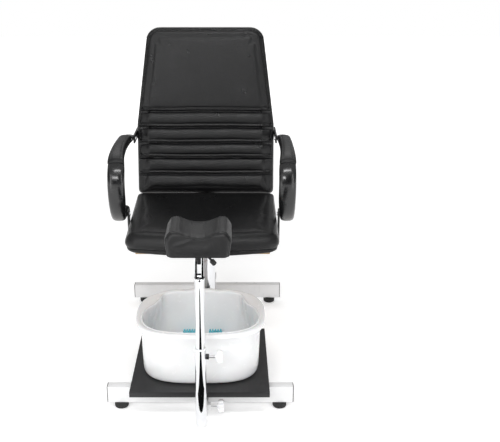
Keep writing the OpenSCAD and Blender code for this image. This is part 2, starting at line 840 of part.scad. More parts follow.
module tilt_lever() {
  color("dimgray") at_post() translate([0, 0, pin_z]) {
    difference() {
      union() {
        rod_x(lever_x, 16, 12);
        translate([lever_x + 8, 0, 0]) rotate([0, 140, 0]) cylinder(d = 7, h = 24);
      }
      rod_x(0, clamp_d + bore_fit, lever_x + 14);
    }
    translate([lever_x + 8, 0, 0]) rotate([0, 140, 0]) translate([0, 0, 22]) {
      cylinder(d = 15, h = 14);
      cylinder(d = 11, h = 16);
    }
  }
}

module pad_bracket() {
  color("black") at_post() {
    difference() {
      union() {
        translate([-fork_gap / 2 + 0.5, -9, pin_z - 26]) cube([fork_gap - 1, 18, 26 + 18]);
        translate([0, 0, pin_z + 16]) slab(110, 80, 5);
      }
      translate([0, 0, pin_z]) rod_x(-fork_gap, clamp_d + bore_fit, 2 * fork_gap);
    }
  }
}

module leg_pad() {
  r = 16;
  w = pad_w / 2 - r;
  foot = w - 6;                       // the pad narrows towards its underside
  d = pad_d / 2 - r;
  chord = pad_w / 2 - 34;             // half width of the hollow
  hollow_r = (chord * chord + pad_dip * pad_dip) / (2 * pad_dip);
  color("dimgray") at_post() translate([0, 0, pad_under + soft_gap / 4]) difference() {
    hull() for (i = [-1, 1], j = [-1, 1]) {
      translate([i * foot, j * d, 0]) cylinder(r = r, h = 4, $fn = 32);
      translate([i * w, j * d, pad_h * 0.62]) sphere(r = r, $fn = 32);
      translate([i * (w - 8), j * d, pad_h - r]) sphere(r = r, $fn = 32);
    }
    translate([0, pad_d, pad_h + hollow_r - pad_dip]) rotate([90, 0, 0])
      cylinder(r = hollow_r, h = 2 * pad_d, $fn = 96);
  }
}

// ---- foot basin ----
// the basin's plan: a blunt rear half and a rounder front half
function sgn_pow(v, e) = sign(v) * pow(abs(v), e);
function basin_ring(w, d) = [for (a = [0:5:355])
  let (e = sin(a) < 0 ? 2 / 3.1 : 2 / 2.5)
  [w / 2 * sgn_pow(cos(a), e), d / 2 * sgn_pow(sin(a), e)]];
module basin_plan(g) polygon(basin_ring(basin_w + 2 * g, basin_d + 2 * g));
module at_basin() placed() translate([0, basin_y, board_top]) children();

cradle_xs = [-axle_len / 2 + cradle_t / 2, 0, axle_len / 2 - cradle_t / 2];
module basin_shell() {
  color("white") {
    at_basin() difference() {
      union() {
        linear_extrude(basin_h) basin_plan(0);
        translate([0, 0, basin_h - rim_h]) linear_extrude(rim_h) basin_plan(rim_out);
      }
      translate([0, 0, basin_wall]) linear_extrude(basin_h) basin_plan(-basin_wall);
      // the rim is a hollow band, open below
      translate([0, 0, basin_h - rim_h - 1]) linear_extrude(rim_h - 3) difference() {
        basin_plan(rim_out - 3);
        basin_plan(0);
      }
    }
    // cradles that hold the roller axles
    placed() for (y = [row_front, row_rear], x = cradle_xs) difference() {
      translate([x, y, board_top + basin_wall - 0.01])
        slab(cradle_t, 16, axle_z + 7 - board_top - basin_wall);
      translate([0, y, axle_z]) rod_x(-axle_len, axle_d, 2 * axle_len);
    }
  }
}

module roller_axles() color("silver") placed() for (y = [row_front, row_rear])
  translate([0, y, axle_z]) rod_x(-axle_len / 2, axle_d, axle_len);

module roller(side, y) {
  discs = 5;
  color("mediumturquoise") placed() translate([side * roller_x, y, axle_z]) difference() {
    union() {
      rod_x(-roller_len / 2, roller_d - 10, roller_len);
      for (i = [0:discs - 1]) rod_x((i + 0.5) * roller_len / discs - roller_len / 2 - 3,
        roller_d, 6);
    }
    rod_x(-roller_len, axle_d + bore_fit, 2 * roller_len);
  }
}
module roller_front_left() roller(-1, row_front);
module roller_front_right() roller(1, row_front);
module roller_rear_left() roller(-1, row_rear);
module roller_rear_right() roller(1, row_rear);

front_bar();
rear_bar();
centre_beam();
bar_end_caps();
rubber_feet();
foot_studs();
platform_board();
platform_screws();
pump_mount_plate();
pump_flange();
flange_bolts();
pump_outer_tube();
pump_cylinder();
pump_gland();
pedal_bracket();
pedal_pin();
pump_ram();
ram_piston();
thrust_washer();
pedal_lever();
pedal_tread();
pump_plunger();
plunger_spring();
swivel_hub();
seat_plate();
seat_bolts();
seat_pan();
seat_cushion();
back_bracket();
back_board();
back_cushion();
arm_left();
arm_right();
arm_pad_left();
arm_pad_right();
arm_brackets();
arm_bolts();
socket_tube();
socket_nut();
reach_screw();
reach_knob();
post_outer_tube();
post_stub();
post_bottom_cap();
post_bush();
post_nut();
height_screw();
height_knob();
post_inner_tube();
yoke();
tilt_screw();
tilt_lever();
pad_bracket();
leg_pad();
basin_shell();
roller_axles();
roller_front_left();
roller_front_right();
roller_rear_left();
roller_rear_right();
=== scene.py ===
"""The finished look of a pedicure chair, piece by piece round its CAD frame.

Lengths are in metres. The chair faces -Y. Depths are counted back from the front bar's centre.
"""

import json
import math

import bmesh
import bpy
import numpy as np
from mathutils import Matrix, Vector
from mathutils.bvhtree import BVHTree
from mathutils.kdtree import KDTree


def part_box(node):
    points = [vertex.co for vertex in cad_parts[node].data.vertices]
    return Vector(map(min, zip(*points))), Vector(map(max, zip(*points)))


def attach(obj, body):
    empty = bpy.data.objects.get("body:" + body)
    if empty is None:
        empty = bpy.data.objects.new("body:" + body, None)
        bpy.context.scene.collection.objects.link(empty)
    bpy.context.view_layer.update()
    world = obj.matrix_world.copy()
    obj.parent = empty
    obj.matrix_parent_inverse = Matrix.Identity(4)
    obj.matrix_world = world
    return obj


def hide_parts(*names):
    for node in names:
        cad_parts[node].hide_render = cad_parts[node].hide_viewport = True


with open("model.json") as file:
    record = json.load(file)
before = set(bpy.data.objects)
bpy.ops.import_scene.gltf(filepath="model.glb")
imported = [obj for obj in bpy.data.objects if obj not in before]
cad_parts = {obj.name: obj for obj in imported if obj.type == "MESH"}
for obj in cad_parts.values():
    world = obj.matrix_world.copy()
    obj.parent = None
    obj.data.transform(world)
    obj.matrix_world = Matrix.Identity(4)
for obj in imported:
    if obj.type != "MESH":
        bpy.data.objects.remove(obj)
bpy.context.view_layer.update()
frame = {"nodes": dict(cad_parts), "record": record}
scene = bpy.context.scene

RECORD = frame["record"]
BODY_OF = {node: body for body, nodes in RECORD["behaviour"]["bodies"].items() for node in nodes}
SLOT_OF = {part["node"]: part["material_slot"] for part in RECORD["subparts"]}

bar_low, bar_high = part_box("front_bar")
BAR_Y = (bar_low.y + bar_high.y) / 2


def back_from_bar(depth):
    """The Y of a place that many metres behind the front bar's centre."""
    return BAR_Y + depth


# ---------------------------------------------------------------- camera

VIEW_DISTANCE = 2.257       # from the front bar's centre
VIEW_HEIGHT = 1.47
VIEW_SIDE = 0.100           # right of the chair's middle
VIEW_TILT = 69.9            # 20.1 degrees below level

camera_data = bpy.data.cameras.new("front_view")
camera_data.sensor_width = 36.0
camera_data.lens = 57.6
camera_data.shift_x = 0.0376
camera = bpy.data.objects.new("front_view", camera_data)
camera.location = (VIEW_SIDE, BAR_Y - VIEW_DISTANCE, VIEW_HEIGHT)
camera.rotation_euler = (math.radians(VIEW_TILT), 0, 0)
scene.collection.objects.link(camera)
scene.camera = camera

# ---------------------------------------------------------------- finishes


class Finish:
    """A surface finish: one Principled shader and the texture nodes that vary it."""

    def __init__(self, name, colour, rough, metal=0.0, **sockets):
        self.material = bpy.data.materials.new(name)
        self.material.use_nodes = True
        self.tree = self.material.node_tree
        self.shader = self.tree.nodes["Principled BSDF"]
        self.place = self.node("ShaderNodeTexCoord").outputs["Object"]
        values = {"Base_Color": (*colour, 1), "Roughness": rough, "Metallic": metal, **sockets}
        for key, value in values.items():
            self.shader.inputs[key.replace("_", " ")].default_value = value
        self.last_bump = None

    def node(self, kind, traits=(), **inputs):
        made = self.tree.nodes.new(kind)
        for key, value in dict(traits).items():
            setattr(made, key, value)
        for key, value in inputs.items():
            socket = made.inputs[key.replace("_", " ")]
            if isinstance(value, bpy.types.NodeSocket):
                self.tree.links.new(value, socket)
            else:
                socket.default_value = value
        return made

    def stretched(self, x, y, z):
        """Object coordinates pulled out along the axes with the small numbers."""
        return self.node("ShaderNodeMapping", Vector=self.place, Scale=(x, y, z)).outputs[0]

    def noise(self, scale, detail=3.0, rough=0.55, place=None, warp=0.0):
        return self.node("ShaderNodeTexNoise", Vector=place or self.place, Scale=scale,
                         Detail=detail, Roughness=rough, Distortion=warp).outputs["Fac"]

    def cells(self, scale, feature="F1", spread=1.0, place=None):
        return self.node("ShaderNodeTexVoronoi", {"feature": feature}, Scale=scale,
                         Vector=place or self.place, Randomness=spread).outputs["Distance"]

    def remap(self, value, low, high, to_low=0.0, to_high=1.0):
        made = self.node("ShaderNodeMapRange", {"interpolation_type": "SMOOTHSTEP"}, Value=value)
        for key, number in (("From Min", low), ("From Max", high), ("To Min", to_low), ("To Max", to_high)):
            made.inputs[key].default_value = number
        return made.outputs["Result"]

    def relief(self, height, depth, strength=1.0):
        """Raises the surface by height times depth, in metres, on top of earlier relief."""
        made = self.node("ShaderNodeBump", Height=height, Distance=depth, Strength=strength)
        if self.last_bump:
            self.tree.links.new(self.last_bump, made.inputs["Normal"])
        self.last_bump = made.outputs["Normal"]
        self.tree.links.new(self.last_bump, self.shader.inputs["Normal"])
        return self

    def tint(self, share, colour):
        """Where share is 1 the surface has the other colour."""
        made = self.node("ShaderNodeMix", {"data_type": "RGBA"})
        before = self.shader.inputs["Base Color"]
        if before.links:
            self.tree.links.new(before.links[0].from_socket, made.inputs[6])
        else:
            made.inputs[6].default_value = before.default_value
        made.inputs[7].default_value = (*colour, 1)
        self.tree.links.new(share, made.inputs[0])
        self.tree.links.new(made.outputs[2], self.shader.inputs["Base Color"])
        return self

    def gloss(self, value, low, high):
        """Roughness runs from low to high as value runs from 0 to 1."""
        result = self.remap(value, 0.25, 0.75, low, high)
        self.tree.links.new(result, self.shader.inputs["Roughness"])
        return self


def leather(name, colour, lighter, rough, grain):
    """Embossed faux leather: pebbles between creases, pores, and slack in the hide; the creases also carry
    painted shade.
    """
    skin = Finish(name, colour, rough, Specular_IOR_Level=0.36)
    warped = skin.node("ShaderNodeVectorMath", {"operation": "ADD"}).outputs[0]
    wander = skin.node("ShaderNodeTexNoise", Vector=skin.place, Scale=grain * 0.3, Detail=2.0)
    small = skin.node("ShaderNodeVectorMath", {"operation": "SCALE"}, Scale=0.9 / grain)
    skin.tree.links.new(wander.outputs["Color"], small.inputs[0])
    skin.tree.links.new(skin.place, warped.node.inputs[0])
    skin.tree.links.new(small.outputs[0], warped.node.inputs[1])
    pebbles = skin.remap(skin.cells(grain, "DISTANCE_TO_EDGE", place=warped), 0.0, 0.22)
    broad = skin.cells(grain * 0.31, "SMOOTH_F1", place=warped)
    skin.relief(skin.noise(7.0, 2.0), 0.004, 0.35)
    skin.relief(skin.remap(skin.noise(26.0, 4.0, 0.6, warp=0.8), 0.35, 0.7), 0.0011, 0.3)
    skin.relief(broad, 0.00045, 0.30)
    skin.relief(pebbles, 0.00022, 0.5)
    skin.relief(skin.noise(grain * 3.4, 2.0), 0.00006, 0.5)
    skin.tint(skin.remap(skin.noise(11.0, 5.0, 0.62), 0.38, 0.72, 0.0, 0.55), lighter)
    # Painted shade: the colour is darkened in the creases between the pebbles.
    skin.tint(skin.remap(pebbles, 0.0, 1.0, 0.5, 0.0), tuple(0.35 * c for c in colour))
    return skin.gloss(skin.noise(17.0, 6.0, 0.66), rough - 0.05, rough + 0.09)


def powder_coat(name, colour, rough, lumps):
    """Baked paint: orange peel, faint clouding and a few dull handling marks."""
    coat = Finish(name, colour, rough, Coat_Weight=0.25, Coat_Roughness=0.12)
    coat.relief(coat.noise(lumps, 2.0, 0.5), 0.00010, 0.55)
    coat.relief(coat.noise(38.0, 2.0), 0.0004, 0.18)
    coat.tint(coat.remap(coat.noise(6.0, 4.0), 0.45, 0.8, 0.0, 0.5), tuple(0.86 * c for c in colour))
    marks = coat.noise(55.0, 6.0, 0.7, place=coat.stretched(1, 1, 0.15))
    return coat.gloss(marks, rough - 0.05, rough + 0.12)


def plated(name, colour, rough, haze):
    """Bright plating over a drawn tube: hairlines, haze and a slow change of tone."""
    metal = Finish(name, colour, rough, 1.0)
    hairs = metal.noise(260.0, 3.0, 0.7, place=metal.stretched(1, 1, 0.03))
    metal.relief(hairs, 0.00003, 0.35)
    metal.relief(metal.noise(30.0, 2.0), 0.0003, 0.06)
    metal.tint(metal.remap(metal.noise(9.0, 4.0), 0.4, 0.75, 0.0, 0.6), tuple(0.80 * c for c in colour))
    return metal.gloss(metal.noise(70.0, 5.0, 0.7), rough, rough + haze)


def moulded(name, colour, rough, grain, depth, **sockets):
    """Moulded plastic: a fine texture from the tool, slight sink and soft scuffs."""
    cast = Finish(name, colour, rough, **sockets)
    cast.relief(cast.noise(12.0, 2.0), 0.0012, 0.12)
    cast.relief(cast.remap(cast.cells(grain, "SMOOTH_F1"), 0.0, 0.9), depth, 0.6)
    cast.tint(cast.remap(cast.noise(8.0, 5.0), 0.42, 0.78, 0.0, 0.6), tuple(0.88 * c for c in colour))
    scuffs = cast.noise(46.0, 6.0, 0.72, place=cast.stretched(1, 0.35, 1))
    return cast.gloss(scuffs, rough - 0.04, rough + 0.10)


def laminate():
    """Black laminate on the platform board: a fine ripple and dull tread marks."""
    sheet = moulded("platform laminate", (0.012, 0.012, 0.013), 0.40, 900.0, 0.00012)
    ripple = sheet.noise(420.0, 2.0, place=sheet.stretched(0.25, 1, 1))
    sheet.relief(ripple, 0.00008, 0.5)
    return sheet


def rubber():
    soft = moulded("black rubber", (0.013, 0.013, 0.013), 0.72, 700.0, 0.00015)
    soft.tint(soft.remap(soft.noise(90.0, 5.0, 0.7), 0.5, 0.8, 0.0, 0.7), (0.045, 0.043, 0.04))
    return soft


def zinc():
    """Bright zinc plate: spangle, a hint of yellow and blue, and dull patches."""
    metal = plated("bright zinc", (0.62, 0.62, 0.63), 0.26, 0.22)
    spangle = metal.cells(320.0, "F1")
    metal.relief(spangle, 0.00003, 0.4)
    metal.tint(metal.remap(metal.noise(34.0, 3.0), 0.5, 0.8, 0.0, 0.45), (0.66, 0.60, 0.46))
    metal.tint(metal.remap(metal.noise(27.0, 3.0, warp=0.5), 0.55, 0.8, 0.0, 0.4), (0.46, 0.52, 0.62))
    return metal


def cast_iron():
    """Sand-cast iron under black paint."""
    iron = powder_coat("painted casting", (0.016, 0.016, 0.017), 0.46, 420.0)
    iron.relief(iron.noise(210.0, 5.0, 0.68), 0.0007, 0.5)
    return iron


def turned_brass():
    brass = plated("turned brass", (0.78, 0.57, 0.26), 0.22, 0.16)
    rings = brass.node("ShaderNodeTexWave", {"wave_type": "RINGS", "rings_direction": "Z"},
                       Vector=brass.place, Scale=260.0, Distortion=0.3).outputs["Fac"]
    brass.relief(rings, 0.00005, 0.5)
    return brass


def plywood():
    """Birch plywood: dark and pale layers at the edge, long grain on the faces."""
    wood = Finish("birch plywood", (0.58, 0.41, 0.23), 0.58)
    layers = wood.node("ShaderNodeTexWave", {"bands_direction": "Z"}, Vector=wood.place,
                       Scale=105.0, Distortion=0.6).outputs["Fac"]
    grain = wood.noise(90.0, 6.0, 0.66, place=wood.stretched(1, 0.06, 1), warp=0.4)
    wood.tint(wood.remap(layers, 0.3, 0.7), (0.40, 0.25, 0.12))
    wood.tint(wood.remap(grain, 0.42, 0.7, 0.0, 0.7), (0.33, 0.20, 0.10))
    wood.relief(grain, 0.0003, 0.6).relief(wood.noise(600.0, 3.0), 0.0001, 0.5)
    return wood.gloss(grain, 0.48, 0.68)


FINISHES = {
    "black_leather": leather("black upholstery leather", (0.006, 0.006, 0.0065),
                             (0.011, 0.011, 0.012), 0.31, 720.0),
    "grey_leather": leather("charcoal pad leather", (0.012, 0.012, 0.0125),
                            (0.016, 0.016, 0.017), 0.34, 760.0),
    "back_cover": leather("black back cover", (0.010, 0.010, 0.011), (0.016, 0.016, 0.017), 0.46, 640.0),
    "arm_plastic": moulded("polished arm skin", (0.006, 0.006, 0.0065), 0.21, 1100.0, 0.00004,
                           Coat_Weight=0.35, Coat_Roughness=0.10),
    "black_plastic": moulded("black fittings plastic", (0.014, 0.014, 0.015), 0.42, 800.0, 0.00012),
    "white_plastic": moulded("white basin plastic", (0.88, 0.88, 0.885), 0.20, 1300.0, 0.00003,
                             Coat_Weight=0.3, Coat_Roughness=0.08, Subsurface_Weight=0.04),
    "teal_plastic": moulded("teal roller plastic", (0.10, 0.50, 0.60), 0.24, 1000.0, 0.00004,
                            Coat_Weight=0.3, Coat_Roughness=0.1),
    "white_paint": powder_coat("white powder coat", (0.80, 0.80, 0.805), 0.30, 850.0),
    "black_steel": powder_coat("black powder coat", (0.009, 0.009, 0.010), 0.38, 700.0),
    "cast_black": cast_iron(),
    "chrome": plated("mirror chrome", (0.78, 0.785, 0.80), 0.045, 0.07),
    "zinc_steel": zinc(),
    "brass": turned_brass(),
    "plywood": plywood(),
    "rubber_black": rubber(),
    "platform_laminate": laminate(),
}
thread = Finish("stitching thread", (0.020, 0.020, 0.022), 0.55, Sheen_Weight=0.4)
thread.relief(thread.noise(2600.0, 2.0), 0.0001, 0.8)
thread.tint(thread.remap(thread.noise(900.0, 3.0), 0.4, 0.7), (0.05, 0.05, 0.052))
thread.gloss(thread.noise(1200.0), 0.45, 0.7)
FINISHES["thread"] = thread

# ---------------------------------------------------------------- mesh helpers


def points_of(mesh):
    flat = np.empty(len(mesh.vertices) * 3, np.float32)
    mesh.vertices.foreach_get("co", flat)
    return flat.reshape(-1, 3).astype(float)


def normals_of(mesh):
    flat = np.empty(len(mesh.vertices) * 3, np.float32)
    mesh.vertices.foreach_get("normal", flat)
    return flat.reshape(-1, 3).astype(float)


def set_points(mesh, points):
    mesh.vertices.foreach_set("co", points.astype(np.float32).ravel())
    mesh.update()


def smooth_step(low, high, value):
    t = np.clip((np.asarray(value, float) - low) / (high - low), 0, 1)
    return t * t * (3 - 2 * t)


def new_object(name, mesh):
    made = bpy.data.objects.new(name, mesh)
    scene.collection.objects.link(made)
    return made


def belong(piece, body, slot, *nodes):
    """Gives a piece its finish and its body, and says which CAD nodes it stands for."""
    piece.data.materials.clear()
    piece.data.materials.append(FINISHES[slot].material)
    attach(piece, body)
    if nodes:
        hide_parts(*nodes)
    return piece


def merged(node):
    """A welded copy of a CAD node's mesh, with its flat faces whole again."""
    bm = bmesh.new()
    bm.from_mesh(frame["nodes"][node].data)
    bmesh.ops.remove_doubles(bm, verts=bm.verts, dist=0.00001)
    bmesh.ops.dissolve_limit(bm, angle_limit=math.radians(0.4), verts=bm.verts, edges=bm.edges)
    return bm


def settle(piece):
    """Makes a piece's modifiers part of its mesh."""
    graph = bpy.context.evaluated_depsgraph_get()
    mesh = bpy.data.meshes.new_from_object(piece.evaluated_get(graph))
    piece.modifiers.clear()
    piece.data = mesh
    mesh.polygons.foreach_set("use_smooth", [True] * len(mesh.polygons))
    return piece


def crease_sharp(bm, angle=34.0):
    """Smooth shading everywhere but across edges sharper than the angle."""
    for face in bm.faces:
        face.smooth = True
    for edge in bm.edges:
        if len(edge.link_faces) == 2:
            edge.smooth = edge.calc_face_angle(0.0) < math.radians(angle)


def loft(name, rings, looped=False):
    """A closed skin over rings of equal count, with a pole at each end unless it is looped."""
    rings = np.asarray(rings, float)
    count, around = rings.shape[:2]
    points = list(rings.reshape(-1, 3))
    faces = []
    for i in range(count if looped else count - 1):
        here, there = i * around, ((i + 1) % count) * around
        for k in range(around):
            n = (k + 1) % around
            faces.append((here + k, here + n, there + n, there + k))
    if not looped:
        for row in (0, count - 1):
            pole = len(points)
            points.append(rings[row].mean(axis=0))
            faces += [(row * around + k, row * around + (k + 1) % around, pole) for k in range(around)]
    mesh = bpy.data.meshes.new(name)
    mesh.from_pydata([tuple(p) for p in points], [], faces)
    bm = bmesh.new()
    bm.from_mesh(mesh)
    bmesh.ops.recalc_face_normals(bm, faces=bm.faces)
    crease_sharp(bm, 50.0)
    bm.to_mesh(mesh)
    bm.free()
    return new_object(name, mesh)


def superellipse(half_w, half_h, power, count, phase=0.0):
    """Points round a squared oval in two axes."""
    turn = np.linspace(0, 2 * math.pi, count, endpoint=False) + phase
    c, s = np.cos(turn), np.sin(turn)
    bend = 2.0 / power
    return np.stack([half_w * np.sign(c) * np.abs(c) ** bend,
                     half_h * np.sign(s) * np.abs(s) ** bend], axis=1)


def resampled(path, step, closed):
    """The same path with points an even step apart."""
    path = np.asarray(path, float)
    if closed:
        path = np.vstack([path, path[:1]])
    run = np.concatenate([[0], np.cumsum(np.linalg.norm(np.diff(path, axis=0), axis=1))])
    count = max(4, int(round(run[-1] / step)))
    marks = np.linspace(0, run[-1], count + 1)
    even = np.stack([np.interp(marks, run, path[:, axis]) for axis in range(3)], axis=1)
    return even[:-1] if closed else even


def seam_loop(piece, point, normal, step=0.004):
    """The longest closed line where a plane crosses a cover, evenly spaced and eased."""
    bm = bmesh.new()
    bm.from_mesh(piece.data)
    cut = bmesh.ops.bisect_plane(bm, geom=bm.verts[:] + bm.edges[:] + bm.faces[:],
                                 plane_co=point, plane_no=normal)["geom_cut"]
    links = {}
    for edge in (e for e in cut if isinstance(e, bmesh.types.BMEdge)):
        a, b = edge.verts
        links.setdefault(a, []).append(b)
        links.setdefault(b, []).append(a)
    seen, best = set(), []
    for start in links:
        line, here = [], start
        while here is not None and here not in seen:
            seen.add(here)
            line.append(tuple(here.co))
            here = next((n for n in links[here] if n not in seen), None)
        best = max(best, line, key=len)
    bm.free()
    loop = resampled(best, step, True)
    for _ in range(6):
        loop = (np.roll(loop, 1, 0) + 2 * loop + np.roll(loop, -1, 0)) / 4
    return loop


def cover_tree(piece):
    return BVHTree.FromPolygons([v.co for v in piece.data.vertices],
                                [tuple(p.vertices) for p in piece.data.polygons])


def laid_on(tree, path, lift=0.0):
    """A path moved to the nearest place on a surface, plus a lift along its normal."""
    laid = []
    for point in path:
        place, normal, _, _ = tree.find_nearest(Vector(point))
        laid.append(tuple(place + normal * lift))
    return np.array(laid)


def groove(piece, paths, depth, width):
    """Presses a soft channel into a cover along the paths."""
    marks = np.vstack(paths)
    tree = KDTree(len(marks))
    for i, mark in enumerate(marks):
        tree.insert(mark, i)
    tree.balance()
    points, normals = points_of(piece.data), normals_of(piece.data)
    away = np.array([tree.find(p)[2] for p in points])
    set_points(piece.data, points - normals * (depth * np.exp(-(away / width) ** 2))[:, None])


class Recipe:
    """A Geometry Nodes tree with named sizes, ending in Realize Instances and Set Material."""

    def __init__(self, name, **sizes):
        self.tree = bpy.data.node_groups.new(name, "GeometryNodeTree")
        face = self.tree.interface
        face.new_socket("Geometry", in_out="INPUT", socket_type="NodeSocketGeometry")
        for key, value in sizes.items():
            kind = {int: "Int", float: "Float", tuple: "Vector"}[type(value)]
            face.new_socket(key, in_out="INPUT", socket_type=f"NodeSocket{kind}").default_value = value
        face.new_socket("Geometry", in_out="OUTPUT", socket_type="NodeSocketGeometry")
        self.given = self.tree.nodes.new("NodeGroupInput").outputs

    def node(self, kind, traits=(), **inputs):
        made = self.tree.nodes.new(kind)
        for key, value in dict(traits).items():
            setattr(made, key, value)
        for key, value in inputs.items():
            socket = made.inputs[key.replace("_", " ")]
            if isinstance(value, bpy.types.NodeSocket):
                self.tree.links.new(value, socket)
            else:
                socket.default_value = value
        return made.outputs

    def joined(self, *parts):
        made = self.tree.nodes.new("GeometryNodeJoinGeometry")
        for part in parts:
            self.tree.links.new(part, made.inputs[0])
        return made.outputs[0]

    def end(self, geometry, slot):
        real = self.node("GeometryNodeRealizeInstances", Geometry=geometry)[0]
        dressed = self.node("GeometryNodeSetMaterial", Geometry=real, Material=FINISHES[slot].material)[0]
        smooth = self.node("GeometryNodeSetShadeSmooth", Geometry=dressed)[0]
        out = self.tree.nodes.new("NodeGroupOutput")
        self.tree.links.new(smooth, out.inputs[0])
        return self

    def grown(self, name, mesh, **sizes):
        """A new plain mesh object grown from a mesh by this recipe."""
        seed = new_object(name + "_seed", mesh)
        modifier = seed.modifiers.new("grow", "NODES")
        modifier.node_group = self.tree
        for item in self.tree.interface.items_tree:
            if item.item_type == "SOCKET" and item.in_out == "INPUT" and item.name in sizes:
                modifier[item.identifier] = sizes[item.name]
        graph = bpy.context.evaluated_depsgraph_get()
        result = bpy.data.meshes.new_from_object(seed.evaluated_get(graph))
        bpy.data.objects.remove(seed)
        return new_object(name, result)


def line_mesh(name, paths, closed):
    """Plain edges along the paths, for a recipe to follow."""
    points, edges = [], []
    for path in paths:
        first = len(points)
        points += [tuple(p) for p in path]
        last = len(points) - 1
        edges += [(i, i + 1) for i in range(first, last)]
        if closed:
            edges.append((last, first))
    mesh = bpy.data.meshes.new(name)
    mesh.from_pydata(points, edges, [])
    return mesh


def piping_recipe(slot):
    made = Recipe("piping_" + slot, Radius=0.002)
    line = made.node("GeometryNodeMeshToCurve", Mesh=made.given["Geometry"])[0]
    ring = made.node("GeometryNodeCurvePrimitiveCircle", Resolution=10, Radius=made.given["Radius"])[0]
    tube = made.node("GeometryNodeCurveToMesh", {}, Curve=line, Profile_Curve=ring, Fill_Caps=True)[0]
    return made.end(tube, slot)


def stitch_recipe():
    made = Recipe("stitches", Pitch=0.005, Length=0.0036, Thickness=0.0007)
    line = made.node("GeometryNodeMeshToCurve", Mesh=made.given["Geometry"])[0]
    marks = made.node("GeometryNodeCurveToPoints", {"mode": "LENGTH"}, Curve=line,
                      Length=made.given["Pitch"])
    bead = made.node("GeometryNodeMeshUVSphere", Segments=6, Rings=4, Radius=0.5)["Mesh"]
    size = made.node("ShaderNodeCombineXYZ", X=made.given["Thickness"], Y=made.given["Thickness"],
                     Z=made.given["Length"])[0]
    sewn = made.node("GeometryNodeInstanceOnPoints", Points=marks["Points"], Instance=bead,
                     Rotation=marks["Rotation"], Scale=size)[0]
    return made.end(sewn, "thread")


PIPING = {slot: piping_recipe(slot) for slot in ("black_leather", "grey_leather", "white_plastic")}
STITCHES = stitch_recipe()


def piping(name, paths, radius, slot, body, closed=True):
    made = PIPING[slot].grown(name, line_mesh(name, paths, closed), Radius=radius)
    return belong(made, body, slot)


def stitching(name, paths, body, closed=True, pitch=0.0052):
    made = STITCHES.grown(name, line_mesh(name, paths, closed), Pitch=pitch)
    made.data.materials.clear()
    made.data.materials.append(thread.material)
    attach(made, body)
    return made


# ---------------------------------------------------------------- cushions

AIR_FRAMES = 20
DRAWN_IN = 0.0006               # how far a filled cover may lie below the foam's size


def cushion(name, node, inset, voxel, cap, held):
    """A cover over one soft CAD solid: drawn in, blown up by cloth pressure, then eased."""
    bm = merged(node)
    mesh = bpy.data.meshes.new(name)
    bm.to_mesh(mesh)
    bm.free()
    cover = new_object(name, mesh)
    skin = cover.modifiers.new("skin", "REMESH")
    skin.mode = "VOXEL"
    skin.voxel_size = voxel
    settle(cover)
    points, normals = points_of(cover.data), normals_of(cover.data)
    fixed = held(points)
    start = points - normals * (inset * (1 - fixed))[:, None]
    set_points(cover.data, start)
    group = cover.vertex_groups.new(name="held")
    group.add([int(i) for i in np.nonzero(fixed > 0.5)[0]], 1.0, "REPLACE")
    cloth = cover.modifiers.new("air", "CLOTH")
    cloth.settings.vertex_group_mass = "held"
    cloth.settings.use_pressure = True
    cloth.settings.uniform_pressure_force = 4.0
    cloth.settings.effector_weights.gravity = 0.0
    cloth.point_cache.frame_start = 1
    cloth.point_cache.frame_end = AIR_FRAMES
    for step in range(1, AIR_FRAMES + 1):
        scene.frame_set(step)
    graph = bpy.context.evaluated_depsgraph_get()
    blown = cover.evaluated_get(graph)
    swelled = points_of(blown.data)
    cover.modifiers.clear()
    cover.vertex_groups.clear()
    scene.frame_set(1)
    move = swelled - start
    length = np.linalg.norm(move, axis=1)
    move *= (np.minimum(length, cap) / np.maximum(length, 1e-9))[:, None]
    filled = start + move
    over = ((filled - points) * normals).sum(axis=1)
    short = np.maximum(0.0, -DRAWN_IN - over) * (1 - fixed)
    set_points(cover.data, filled + normals * short[:, None])
    ease = cover.modifiers.new("ease", "SMOOTH")
    ease.factor, ease.iterations = 0.5, 3
    finer = cover.modifiers.new("finer", "SUBSURF")
    finer.levels = finer.render_levels = 1
    return settle(cover)


def push(piece, change):
    """Moves every point of a cover by change(points, normals)."""
    points = points_of(piece.data)
    set_points(piece.data, points + change(points, normals_of(piece.data)))


# Seat: a flat top that rolls over at the front, bowed forward in the middle.
seat_low, seat_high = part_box("seat_cushion")
SEAT_SWEEP = 0.032              # how far the front corners stand back from the middle
SEAT_LIFT = 0.012               # how far the front edge's underside curls up
SEAT_CROWN = 0.004
SEAT_FULL = 0.0035              # fullness of the sides

seat = cushion("seat_cover", "seat_cushion", 0.005, 0.0055, 0.008,
               lambda p: ((p[:, 2] < seat_low.z + 0.006) | (p[:, 1] > seat_high.y - 0.004)) * 1.0)


def seat_form(points, normals):
    across = np.clip(np.abs(points[:, 0]) / seat_high.x, 0, 1)
    rise = (points[:, 2] - seat_low.z) / (seat_high.z - seat_low.z)
    near_front = smooth_step(seat_low.y + 0.20, seat_low.y + 0.01, points[:, 1])
    move = np.zeros_like(points)
    move[:, 1] = (SEAT_SWEEP * across ** 1.7 - 0.008) * near_front
    on_top = smooth_step(0.4, 0.9, normals[:, 2])
    along = (points[:, 1] - seat_low.y) / (seat_high.y - seat_low.y)
    crown = (1 - across ** 3) * np.clip(4 * along * (1 - along), 0, 1)
    curl = smooth_step(seat_low.y + 0.11, seat_low.y + 0.01, points[:, 1]) * (1 - smooth_step(0.0, 0.7, rise))
    move[:, 2] = SEAT_CROWN * crown * on_top + SEAT_LIFT * curl * (1 + 0.35 * across ** 2)
    outward = smooth_step(0.3, 0.9, np.abs(normals[:, 0])) * smooth_step(0.1, 0.5, rise)
    move[:, 0] = np.sign(points[:, 0]) * SEAT_FULL * outward
    return move


